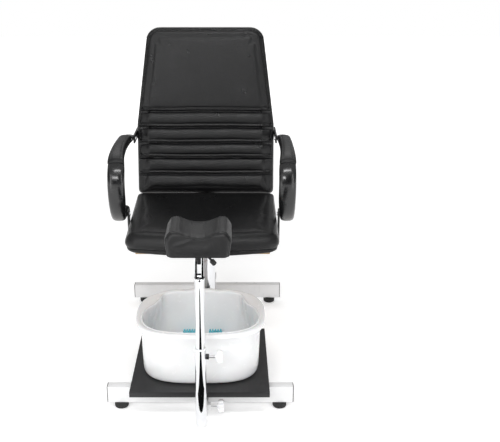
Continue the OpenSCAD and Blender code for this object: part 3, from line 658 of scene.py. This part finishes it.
push(seat, seat_form)
HEM_TILT = (0, 0.08, 1)
seat_hem = seam_loop(seat, (0, 0, seat_low.z + 0.018), HEM_TILT)
groove(seat, [seat_hem], 0.0030, 0.0045)
seat_tree = cover_tree(seat)
seat_hem = laid_on(seat_tree, seat_hem, 0.0006)
belong(seat, "seat", "black_leather", "seat_cushion")
piping("seat_piping", [seat_hem], 0.0022, "black_leather", "seat")
seat_thread = seam_loop(seat, (0, 0, seat_low.z + 0.0265), HEM_TILT)
stitching("seat_stitching", [laid_on(seat_tree, seat_thread, 0.0001)], "seat")

# Back: a smooth upper panel over five sewn channels, boxed at the sides.
BACK_LEAN = math.radians(9.2)
BACK_FOOT = np.array((0.0, back_from_bar(0.7444), 0.483))
BACK_UP = np.array((0.0, math.sin(BACK_LEAN), math.cos(BACK_LEAN)))
BACK_IN = np.array((0.0, math.cos(BACK_LEAN), -math.sin(BACK_LEAN)))
BACK_LONG = 0.645
BACK_THICK = 0.0718
BACK_SEAMS = (0.081, 0.146, 0.203, 0.264, 0.326)
RIB_PUFF = 0.0105
BOXING = 0.0105                 # from the silhouette in to the front panel's edge


def back_place(points):
    """(depth from the front face, height up the back) of points on the leaning back."""
    off = points - BACK_FOOT
    return off @ BACK_IN, off @ BACK_UP


def back_half_width(up):
    """Half the back's width at a height, straight at the foot and narrowing to the top."""
    straight, top, corner = 0.42 * BACK_LONG + 0.01, BACK_LONG - 0.055, 0.055
    half = np.interp(up, [0, straight, top], [0.268, 0.268, 0.2275])
    round_in = corner - np.sqrt(np.clip(corner ** 2 - np.clip(up - top, 0, corner) ** 2, 0, None))
    return half - round_in


back = cushion("back_cover", "back_cushion", 0.007, 0.0052, 0.010,
               lambda p: (back_place(p)[0] > BACK_THICK - 0.008) * 1.0)


def back_form(points, normals):
    depth, up = back_place(points)
    faces = smooth_step(0.25, 0.85, -(normals @ BACK_IN))
    inboard = back_half_width(up) - BOXING - np.abs(points[:, 0])
    rolls = smooth_step(-0.002, 0.042, inboard)
    lines = smooth_step(-0.006, 0.003, inboard)
    waver = 0.0008 * np.sin(points[:, 0] * 17.0 + up * 14.0) + 0.0004 * np.sin(points[:, 0] * 43.0)
    at = up + waver
    edges = np.array((-0.012,) + BACK_SEAMS)
    puff = np.zeros(len(points))
    for low, high in zip(edges[:-1], edges[1:]):
        t = np.clip((at - low) / (high - low), 0, 1)
        puff += RIB_PUFF * (1 - np.abs(2 * t ** 1.12 - 1) ** 2.1) * ((at > low) & (at < high))
    over = np.clip(at - edges[-1], 0, None)
    puff += 0.007 * (1 - np.exp(-over / 0.022)) * smooth_step(BACK_LONG, BACK_LONG - 0.16, up)
    seam = np.zeros(len(points))
    for line in BACK_SEAMS:
        seam += 0.0062 * np.exp(-((at - line) / 0.0042) ** 2)
        seam -= 0.0022 * np.exp(-((at - line - 0.0075) / 0.0032) ** 2)
        seam += 0.0030 * np.exp(-((at - line - 0.0140) / 0.0030) ** 2)
    puff *= smooth_step(0.004, 0.03, up)
    pull = -(puff * rolls - seam * lines) * faces
    return pull[:, None] * BACK_IN


push(back, back_form)
panel_edge = seam_loop(back, tuple(BACK_FOOT + BACK_IN * 0.0065), tuple(BACK_IN))
rear_edge = seam_loop(back, tuple(BACK_FOOT + BACK_IN * 0.060), tuple(BACK_IN))
groove(back, [panel_edge], 0.0052, 0.0056)
groove(back, [rear_edge], 0.0034, 0.0042)
back_tree = cover_tree(back)
belong(back, "seat", "black_leather", "back_cushion")
piping("back_piping", [laid_on(back_tree, panel_edge, 0.0004), laid_on(back_tree, rear_edge, 0.0004)],
       0.0021, "black_leather", "seat")


def across_back(height):
    """A line across the front of the back at one height."""
    half = float(back_half_width(np.array([height]))[0]) - BOXING - 0.004
    line = [BACK_FOOT + BACK_UP * height + np.array((x, 0, 0)) - BACK_IN * 0.05
            for x in np.arange(-half, half, 0.003)]
    hits = []
    for point in line:
        place, normal, _, _ = back_tree.ray_cast(Vector(point), Vector(BACK_IN))
        if place is not None:
            hits.append(tuple(place - Vector(BACK_IN) * 0.0002))
    return np.array(hits)


stitching("back_stitching", [across_back(h) for line in BACK_SEAMS for h in (line - 0.0065, line + 0.0072)],
          "seat", closed=False)

# Leg pad: a saddle with a sewn panel at each end.
pad_low, pad_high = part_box("leg_pad")
pad = cushion("leg_pad_cover", "leg_pad", 0.003, 0.0034, 0.0048,
              lambda p: (p[:, 2] < pad_low.z + 0.004) * 1.0)


def pad_form(points, normals):
    """Panels fall in under the dip, with a slack fold beside it, and the horns stand up."""
    move = np.zeros_like(points)
    front = smooth_step(0.45, 0.9, -normals[:, 1])
    rear = smooth_step(0.45, 0.9, normals[:, 1])
    x, z = points[:, 0] - pad_low.lerp(pad_high, 0.5).x, (points[:, 2] - pad_low.z) / (pad_high.z - pad_low.z)
    middle = np.exp(-(x / 0.05) ** 2) * smooth_step(0.25, 0.85, z)
    move[:, 1] += 0.0035 * middle * (front - rear)
    fold_line = np.abs(z - (0.86 + 3.6 * (x + 0.062)) + 0.35) / 1.6
    fold = np.exp(-(fold_line / 0.045) ** 2) * smooth_step(-0.074, -0.060, x) * smooth_step(-0.008, -0.026, x)
    move[:, 1] -= 0.0024 * fold * front
    return move


push(pad, pad_form)
pad_seams = [seam_loop(pad, (0, pad_low.y + 0.0085, 0), (0, 1, 0), 0.003),
             seam_loop(pad, (0, pad_high.y - 0.0085, 0), (0, 1, 0), 0.003)]
groove(pad, pad_seams, 0.0030, 0.0034)
pad_tree = cover_tree(pad)
belong(pad, "pad", "grey_leather", "leg_pad")
piping("leg_pad_piping", [laid_on(pad_tree, seam, 0.0004) for seam in pad_seams], 0.0017, "grey_leather", "pad")
pad_threads = [seam_loop(pad, (0, pad_low.y + 0.0150, 0), (0, 1, 0), 0.003),
               seam_loop(pad, (0, pad_high.y - 0.0150, 0), (0, 1, 0), 0.003)]
stitching("leg_pad_stitching", [laid_on(pad_tree, seam, 0.0001) for seam in pad_threads], "pad", pitch=0.0045)

# ---------------------------------------------------------------- arms

# Each loop's centre line, (depth, height) in millimetres, as four Bezier spans.
ARM_SPANS = (
    ((790.4, 702), (684.4, 722), (520, 734), (422, 724)),
    ((422, 724), (360, 717), (342, 678), (344, 632)),
    ((344, 632), (346, 592), (366, 544), (402, 515)),
    ((402, 515), (428, 494), (480, 494), (550, 494)),
)
ARM_STEPS = 16
ARM_OUTER = 0.322
ARM_WIDE, ARM_BULGE = 0.046, 0.013      # width, and how much wider round the front bend
ARM_THICK = 0.028
ARM_SIDE_POINTS = 40


def arm_line():
    line = []
    for span in ARM_SPANS:
        corners = np.array(span) / 1000.0
        for t in np.linspace(0, 1, ARM_STEPS, endpoint=False):
            line.append((1 - t) ** 3 * corners[0] + 3 * (1 - t) ** 2 * t * corners[1]
                        + 3 * (1 - t) * t * t * corners[2] + t ** 3 * corners[3])
    line.append(np.array(ARM_SPANS[-1][-1]) / 1000.0)
    return np.array(line)


ARM_LINE = arm_line()
ARM_TANGENT = np.gradient(ARM_LINE, axis=0)
ARM_TANGENT /= np.linalg.norm(ARM_TANGENT, axis=1)[:, None]
ARM_OUT = np.stack([-ARM_TANGENT[:, 1], ARM_TANGENT[:, 0]], axis=1) * -1   # away from the loop's inside
ARM_ALONG = np.linspace(0, 4, len(ARM_LINE))                               # in spans


def bulge_at(along):
    return smooth_step(0.55, 1.55, along) * smooth_step(3.5, 2.2, along)


def arm_section(i, side, half_w, half_t, lift, power):
    """One ring across the arm at step i, lift being how far out from the centre line."""
    wide = ARM_WIDE + ARM_BULGE * bulge_at(ARM_ALONG[i])
    centre_x = side * (ARM_OUTER - wide / 2)
    ring = superellipse(half_w, half_t, power, ARM_SIDE_POINTS)
    y = back_from_bar(ARM_LINE[i, 0]) + ARM_OUT[i, 0] * (lift + ring[:, 1])
    z = ARM_LINE[i, 1] + ARM_OUT[i, 1] * (lift + ring[:, 1])
    return np.stack([centre_x + ring[:, 0], y, z], axis=1)


def end_share(i, first, last, reach):
    """How full a section is: 1 along the piece, easing to a small lip at its two ends."""
    gap = min(i - first, last - i) / reach
    return math.sqrt(max(0.0, 1 - (1 - min(gap, 1.0)) ** 2)) * 0.96 + 0.04


def finer_range(first, last, cuts, reach):
    """Step indexes from first to last, doubled up near the ends."""
    head = np.linspace(first, first + reach, cuts, endpoint=False)
    body = np.arange(first + reach, last - reach + 0.01, 1.0)
    return np.concatenate([head, body, np.linspace(last, last - reach, cuts, endpoint=False)[::-1]])


def section_between(position, side, make):
    """A ring at a step that may lie between two whole ones."""
    i = int(min(math.floor(position), len(ARM_LINE) - 2))
    share = position - i
    return make(i, side) * (1 - share) + make(i + 1, side) * share


def arm_loop(side):
    first, last = 0, len(ARM_LINE) - 1
    rings = []
    for position in finer_range(first, last, 6, 0.5):
        full = end_share(position, first, last, 0.5)

        def make(i, side):
            wide = ARM_WIDE + ARM_BULGE * bulge_at(ARM_ALONG[i])
            thick = ARM_THICK + 0.005 * bulge_at(ARM_ALONG[i])
            return arm_section(i, side, wide / 2 * (0.8 + 0.2 * full), thick / 2 * (0.7 + 0.3 * full), 0.0, 2.5)

        rings.append(section_between(position, side, make))
    return rings


PAD_FIRST, PAD_LAST = 4.0, 21.3          # where the armrest's padded top starts and ends


def arm_pad(side):
    rings = []
    for position in finer_range(PAD_FIRST, PAD_LAST, 8, 1.6):
        full = end_share(position, PAD_FIRST, PAD_LAST, 1.6)

        def make(i, side):
            wide = ARM_WIDE + ARM_BULGE * bulge_at(ARM_ALONG[i])
            return arm_section(i, side, (wide / 2 + 0.0008) * (0.93 + 0.07 * full),
                               0.0135 * (0.35 + 0.65 * full), ARM_THICK / 2 - 0.0035, 2.3)

        rings.append(section_between(position, side, make))
    return rings


for side, hand in ((-1, "left"), (1, "right")):
    loop = loft(f"arm_{hand}_skin", arm_loop(side))
    belong(loop, "seat", "arm_plastic", f"arm_{hand}")
    rest = loft(f"arm_{hand}_padding", arm_pad(side))
    finer = rest.modifiers.new("finer", "SUBSURF")
    finer.levels = finer.render_levels = 1
    settle(rest)
    rest_tree = cover_tree(rest)
    rails = []
    for reach in (-1, 1):
        rail = []
        for position in np.arange(PAD_FIRST + 1.2, PAD_LAST - 1.0, 0.25):
            ring = section_between(position, side, lambda i, side: arm_section(
                i, side, ARM_WIDE / 2, 0.0105, ARM_THICK / 2 - 0.0035, 2.3))
            wide = ARM_WIDE / 2 - 0.0065 + ARM_BULGE / 2 * float(bulge_at(position / ARM_STEPS))
            middle = ring.mean(axis=0)
            rail.append((middle[0] + reach * wide, middle[1], middle[2] + 0.02))
        rails.append(resampled(laid_on(rest_tree, rail), 0.003, False))
    groove(rest, rails, 0.0011, 0.0022)
    belong(rest, "seat", "black_leather", f"arm_pad_{hand}")
    rest_tree = cover_tree(rest)
    sewn = [laid_on(rest_tree, rail, 0.0001) for rail in rails]
    stitching(f"arm_{hand}_stitching", sewn, "seat", closed=False)

# ---------------------------------------------------------------- foot basin

basin_low, basin_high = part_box("basin_shell")
BASIN_Y = back_from_bar(0.127)
BASIN_HALF = (0.196, 0.161)
BASIN_WALL = 0.004
RIM_OUT, RIM_DEEP = 0.016, 0.016
BASIN_AROUND = 144
HANDLE_WIDE = 0.034
DIP_SIDE, DIP_WIDE, DIP_DEEP = 0.052, 0.013, 0.0045     # the two finger scoops in the rear rim
CRADLE_REACH = 0.10             # how far from the middle the axle posts can stand
CRADLE_TALL = 0.05
basin_turn = np.linspace(0, 2 * math.pi, BASIN_AROUND, endpoint=False)


def basin_ring(grow, height, pull=0.0):
    """One level of the basin: grown outward, with the handle sides drawn in by pull."""
    c, s = np.cos(basin_turn), np.sin(basin_turn)
    ease = smooth_step(-0.25, 0.25, s)
    bend = 2 / 3.1 * (1 - ease) + 2 / 2.5 * ease
    half_x = BASIN_HALF[0] + grow - pull * handle_share()
    half_y = BASIN_HALF[1] + grow - 0.25 * pull * handle_share()
    x = half_x * np.sign(c) * np.abs(c) ** bend
    y = half_y * np.sign(s) * np.abs(s) ** bend
    return np.stack([x, BASIN_Y + y, np.zeros_like(x) + height], axis=1)


def handle_share():
    """1 along the grip at each side, a little behind the middle, and 0 front and rear."""
    swing = np.abs((np.degrees(basin_turn) - 90.0 + 180.0) % 360.0 - 180.0)   # from the rear
    return smooth_step(34.0, 62.0, swing) * smooth_step(98.0, 72.0, swing)


def basin_rings():
    top, foot = basin_high.z, basin_low.z
    under = top - RIM_DEEP
    outer = [(-0.060, foot + 0.0012, 0), (-0.022, foot + 0.0004, 0), (-0.014, foot, 0),
             (-0.0085, foot + 0.0022, 0),
             (-0.0048, foot + 0.0075, 0), (-0.0036, foot + 0.016, 0), (-0.0026, foot + 0.05, 0),
             (-0.0012, foot + 0.11, 0), (0, under - 0.012, 0), (0.0003, under - 0.004, 0),
             (0.0022, under + 0.0008, 0), (0.0058, under + 0.0026, 0), (RIM_OUT - 0.0052, under + 0.0024, 0),
             (RIM_OUT - 0.0034, under + 0.0004, 0), (RIM_OUT - 0.0016, under, 0),
             (RIM_OUT - 0.0003, under + 0.0012, 0),
             (RIM_OUT, under + 0.0040, 0), (RIM_OUT - 0.0002, top - 0.0060, 0),
             (RIM_OUT - 0.0016, top - 0.0022, 0),
             (RIM_OUT - 0.0048, top - 0.0003, 0), (RIM_OUT - 0.0085, top, 0)]
    inner = [(0.0030, top - 0.0006, 0.35), (-0.0005, top - 0.0030, 0.80), (-0.0014, top - 0.0026, 0.92),
             (-0.0026, top - 0.0008, 0.97), (-0.0042, top - 0.0006, 1.0), (-0.0060, top - 0.0026, 1.0),
             (-0.0072, top - 0.0070, 0.98), (-0.0082, top - 0.020, 0.92), (-0.0098, foot + 0.125, 0.62),
             (-0.0110, foot + 0.085, 0.34), (-0.0130, foot + 0.052, 0.12), (-0.0170, foot + 0.028, 0),
             (-0.0240, foot + 0.0135, 0), (-0.0340, foot + 0.0068, 0), (-0.0480, foot + BASIN_WALL + 0.0004, 0),
             (-0.0800, foot + BASIN_WALL, 0), (-0.1300, foot + BASIN_WALL, 0)]
    rings = [basin_ring(grow, height, HANDLE_WIDE * pull) for grow, height, pull in outer + inner]
    rings.insert(0, basin_ring(-0.130, foot + 0.0012))
    along = basin_ring(0, 0)[:, 0]
    rear_dips = sum(np.exp(-((along - x) / DIP_WIDE) ** 2)
                    for x in (-DIP_SIDE, DIP_SIDE)) * (np.sin(basin_turn) > 0.5)
    for ring in rings:
        near_top = smooth_step(top - 0.020, top - 0.002, ring[:, 2])
        ring[:, 2] -= DIP_DEEP * rear_dips * near_top
    return rings


def cradle_mesh():
    """The moulded posts in the basin's floor that hold the roller axles."""
    bm = merged("basin_shell")
    foot = basin_low.z + BASIN_WALL + 0.0005

    def on_post(face):
        middle = face.calc_center_median()
        return (foot < middle.z < foot + CRADLE_TALL and abs(middle.x) < CRADLE_REACH
                and basin_low.y + 0.06 < middle.y < basin_high.y - 0.05)

    bmesh.ops.delete(bm, geom=[f for f in bm.faces if not on_post(f)], context="FACES")
    bmesh.ops.delete(bm, geom=[v for v in bm.verts if not v.link_faces], context="VERTS")
    return bm


basin = loft("basin_skin", basin_rings())
basin_finer = basin.modifiers.new("finer", "SUBSURF")
basin_finer.levels = basin_finer.render_levels = 1
settle(basin)
belong(basin, "basin", "white_plastic", "basin_shell")

post_mesh = bpy.data.meshes.new("basin_cradles")
post_form = cradle_mesh()
rims = [e for e in post_form.edges if e.is_boundary]
bmesh.ops.holes_fill(post_form, edges=rims, sides=0)
bmesh.ops.recalc_face_normals(post_form, faces=post_form.faces)
crease_sharp(post_form)
post_form.to_mesh(post_mesh)
post_form.free()
belong(new_object("basin_cradles", post_mesh), "basin", "white_plastic")

# ---------------------------------------------------------------- rollers, spring


def roller_recipe():
    made = Recipe("massage_roller", Radius=0.0165, Length=0.0368, Nubs_Around=12, Nub_Size=0.0028,
                  Centre=(0.0, 0.0, 0.0))
    drum = made.node("GeometryNodeMeshCylinder", {"fill_type": "NONE"}, Vertices=made.given["Nubs_Around"],
                     Side_Segments=4, Radius=made.given["Radius"], Depth=made.given["Length"])["Mesh"]
    level = made.node("GeometryNodeTransform", Geometry=drum, Rotation=(0, math.pi / 2, 0),
                      Translation=made.given["Centre"])[0]
    nub = made.node("GeometryNodeMeshIcoSphere", Radius=made.given["Nub_Size"], Subdivisions=2)["Mesh"]
    nubs = made.node("GeometryNodeInstanceOnPoints", Points=level, Instance=nub)[0]
    return made.end(made.joined(made.given["Geometry"], nubs), "teal_plastic")


def spring_recipe():
    made = Recipe("return_spring", Turns=7.0, Height=0.03, Radius=0.008, Wire=0.0011, Foot=(0.0, 0.0, 0.0))
    coil = made.node("GeometryNodeCurveSpiral", Resolution=28, Rotations=made.given["Turns"],
                     Start_Radius=made.given["Radius"], End_Radius=made.given["Radius"],
                     Height=made.given["Height"])[0]
    ring = made.node("GeometryNodeCurvePrimitiveCircle", Resolution=8, Radius=made.given["Wire"])[0]
    wire = made.node("GeometryNodeCurveToMesh", Curve=coil, Profile_Curve=ring, Fill_Caps=True)[0]
    stood = made.node("GeometryNodeTransform", Geometry=wire, Translation=made.given["Foot"])[0]
    return made.end(stood, "zinc_steel")


def edged(node, width):
    """A copy of a CAD node with its sharp edges eased by width."""
    bm = merged(node)
    sharp = [e for e in bm.edges if e.is_manifold and e.calc_face_angle(0.0) > math.radians(36)]
    bmesh.ops.bevel(bm, geom=sharp, offset=width, segments=2, profile=0.6, affect="EDGES", clamp_overlap=True)
    crease_sharp(bm, 30.0)
    mesh = bpy.data.meshes.new(node + "_finished")
    bm.to_mesh(mesh)
    bm.free()
    return mesh


ROLLER = roller_recipe()
for place in ("front_left", "front_right", "rear_left", "rear_right"):
    node = "roller_" + place
    low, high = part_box(node)
    made = ROLLER.grown(node + "_nubbed", edged(node, 0.0006), Radius=(high.z - low.z) / 2 - 0.0008,
                        Length=(high.x - low.x) * 0.8, Centre=tuple((low + high) / 2))
    belong(made, BODY_OF[node], "teal_plastic", node)

low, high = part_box("plunger_spring")
WIRE = 0.0011
seed = line_mesh("spring_seed", [[(0, 0, 0), (0, 0, 0.001)]], False)
spring = spring_recipe().grown("return_spring_coil", seed, Height=high.z - low.z - 2 * WIRE,
                               Radius=(high.x - low.x) / 2 - WIRE, Wire=WIRE,
                               Foot=((low.x + high.x) / 2, (low.y + high.y) / 2, low.z + WIRE))
belong(spring, BODY_OF["plunger_spring"], "zinc_steel", "plunger_spring")

# ---------------------------------------------------------------- everything else

DONE = {"seat_cushion", "back_cushion", "leg_pad", "arm_left", "arm_right", "arm_pad_left", "arm_pad_right",
        "basin_shell", "plunger_spring", "roller_front_left", "roller_front_right", "roller_rear_left",
        "roller_rear_right"}
EASED = {"front_bar": 0.0022, "rear_bar": 0.0022, "centre_beam": 0.0022, "platform_board": 0.0016,
         "rubber_feet": 0.0016, "reach_knob": 0.0016, "height_knob": 0.0016, "yoke": 0.0014,
         "back_board": 0.0030, "seat_pan": 0.0010, "socket_tube": 0.0014, "pedal_tread": 0.0010}
SMALL_EASE = 0.0006

for node in sorted(set(SLOT_OF) - DONE):
    piece = new_object(node + "_finished", edged(node, EASED.get(node, SMALL_EASE)))
    belong(piece, BODY_OF[node], SLOT_OF[node], node)

# ---------------------------------------------------------------- floor and light

FLOOR = 9.0                     # half the floor's side
GLOW_FROM, GLOW_FULL = 1.6, 4.5
GLOW_NEAR = 0.34

floor_finish = Finish("studio floor", (0.94, 0.94, 0.94), 0.6, Specular_IOR_Level=0.1,
                      Emission_Color=(1, 1, 1, 1))
floor_finish.gloss(floor_finish.noise(3.0), 0.52, 0.60)
# Far off the floor glows, so that it melts into the white room with no horizon.
distance = floor_finish.node("ShaderNodeVectorMath", {"operation": "LENGTH"}, Vector=floor_finish.place)
glow = floor_finish.remap(distance.outputs["Value"], GLOW_FROM, GLOW_FULL, GLOW_NEAR, 1.0)
floor_finish.tree.links.new(glow, floor_finish.shader.inputs["Emission Strength"])
floor_mesh = bpy.data.meshes.new("studio_floor")
floor_mesh.from_pydata([(-FLOOR, -FLOOR, 0), (FLOOR, -FLOOR, 0), (FLOOR, FLOOR, 0), (-FLOOR, FLOOR, 0)],
                       [], [(0, 1, 2, 3)])
floor = new_object("studio_floor", floor_mesh)
floor_mesh.materials.append(floor_finish.material)

ROOM_LIGHT, DARK_SIDE = 0.56, 0.03


def studio_world():
    """White to look at; what the chair is lit by has a dark side in front of it, low down."""
    world = bpy.data.worlds.new("studio")
    world.use_nodes = True
    tree = world.node_tree
    background = tree.nodes["Background"]

    def node(kind, traits, *inputs):
        made = tree.nodes.new(kind)
        for key, value in traits.items():
            setattr(made, key, value)
        for socket, value in zip(made.inputs, inputs):
            if isinstance(value, bpy.types.NodeSocket):
                tree.links.new(value, socket)
            elif value is not None:
                socket.default_value = value
        return made

    way = tree.nodes.new("ShaderNodeTexCoord").outputs["Generated"]
    split = node("ShaderNodeSeparateXYZ", {}, way)
    side = node("ShaderNodeMath", {"operation": "ABSOLUTE"}, split.outputs["X"]).outputs[0]

    def eased(value, low, high):
        made = node("ShaderNodeMapRange", {"interpolation_type": "SMOOTHSTEP"}, value, low, high, 0.0, 1.0)
        return made.outputs["Result"]

    def product(a, b):
        return node("ShaderNodeMath", {"operation": "MULTIPLY"}, a, b).outputs[0]

    ahead = eased(split.outputs["Y"], 0.1, -0.35)
    narrow = eased(side, 0.42, 0.24)
    low = eased(split.outputs["Z"], 0.62, 0.40)
    dark = product(product(ahead, narrow), low)
    corners = product(eased(side, 0.86, 0.93), eased(split.outputs["Z"], 0.5, 0.3))
    behind = product(eased(split.outputs["Y"], 0.3, 0.7), eased(split.outputs["Z"], 0.62, 0.30))
    shade = node("ShaderNodeMath", {"operation": "MAXIMUM"}, dark, product(corners, 0.8)).outputs[0]
    shade = node("ShaderNodeMath", {"operation": "MAXIMUM"}, shade, product(behind, 0.55)).outputs[0]
    lit = eased(shade, 0.0, 1.0)
    level = node("ShaderNodeMapRange", {}, lit, 0.0, 1.0, ROOM_LIGHT, DARK_SIDE).outputs["Result"]
    seen = tree.nodes.new("ShaderNodeLightPath").outputs["Is Camera Ray"]
    final = node("ShaderNodeMix", {"data_type": "FLOAT"}, seen, None, level, 1.0)
    tree.links.new(final.outputs[0], background.inputs["Strength"])
    background.inputs["Color"].default_value = (1.0, 1.0, 1.0, 1)
    return world


scene.world = studio_world()
scene.view_settings.view_transform = "Standard"


def softbox(name, place, aim, width, height, watts):
    light = bpy.data.lights.new(name, "AREA")
    light.shape = "RECTANGLE"
    light.size, light.size_y, light.energy = width, height, watts
    lamp = new_object(name, light)
    lamp.location = place
    lamp.rotation_euler = (Vector(aim) - Vector(place)).to_track_quat("-Z", "Y").to_euler()
    return lamp


CHEST = (0.0, back_from_bar(0.45), 0.65)
softbox("front_softbox", (0.2, back_from_bar(-1.6), 3.3), CHEST, 2.4, 0.45, 42)
softbox("left_strip", (-1.7, back_from_bar(-1.5), 1.0), CHEST, 0.35, 1.9, 7)
softbox("right_strip", (1.7, back_from_bar(-1.5), 1.0), CHEST, 0.35, 1.9, 7)
softbox("low_fill", (-0.7, back_from_bar(-2.4), 1.7), (0.0, back_from_bar(0.2), 0.25), 1.4, 0.4, 22)
softbox("rear_softbox", (0.0, back_from_bar(2.6), 2.8), CHEST, 2.4, 1.2, 18)

# A black card on the floor in front, seen only in reflections: it draws the dark stripe
# down the chrome and keeps the black skins from greying.
card_mesh = bpy.data.meshes.new("black_card")
card_mesh.from_pydata([(x, back_from_bar(y), 0.003) for x, y in
                       ((-0.30, -2.7), (0.60, -2.7), (0.24, -0.2), (-0.18, -0.2))], [], [(0, 1, 2, 3)])
card = new_object("black_card", card_mesh)
card_mesh.materials.append(Finish("black card", (0.004, 0.004, 0.004), 0.9, Specular_IOR_Level=0.0).material)
card.visible_camera = card.visible_diffuse = card.visible_shadow = False
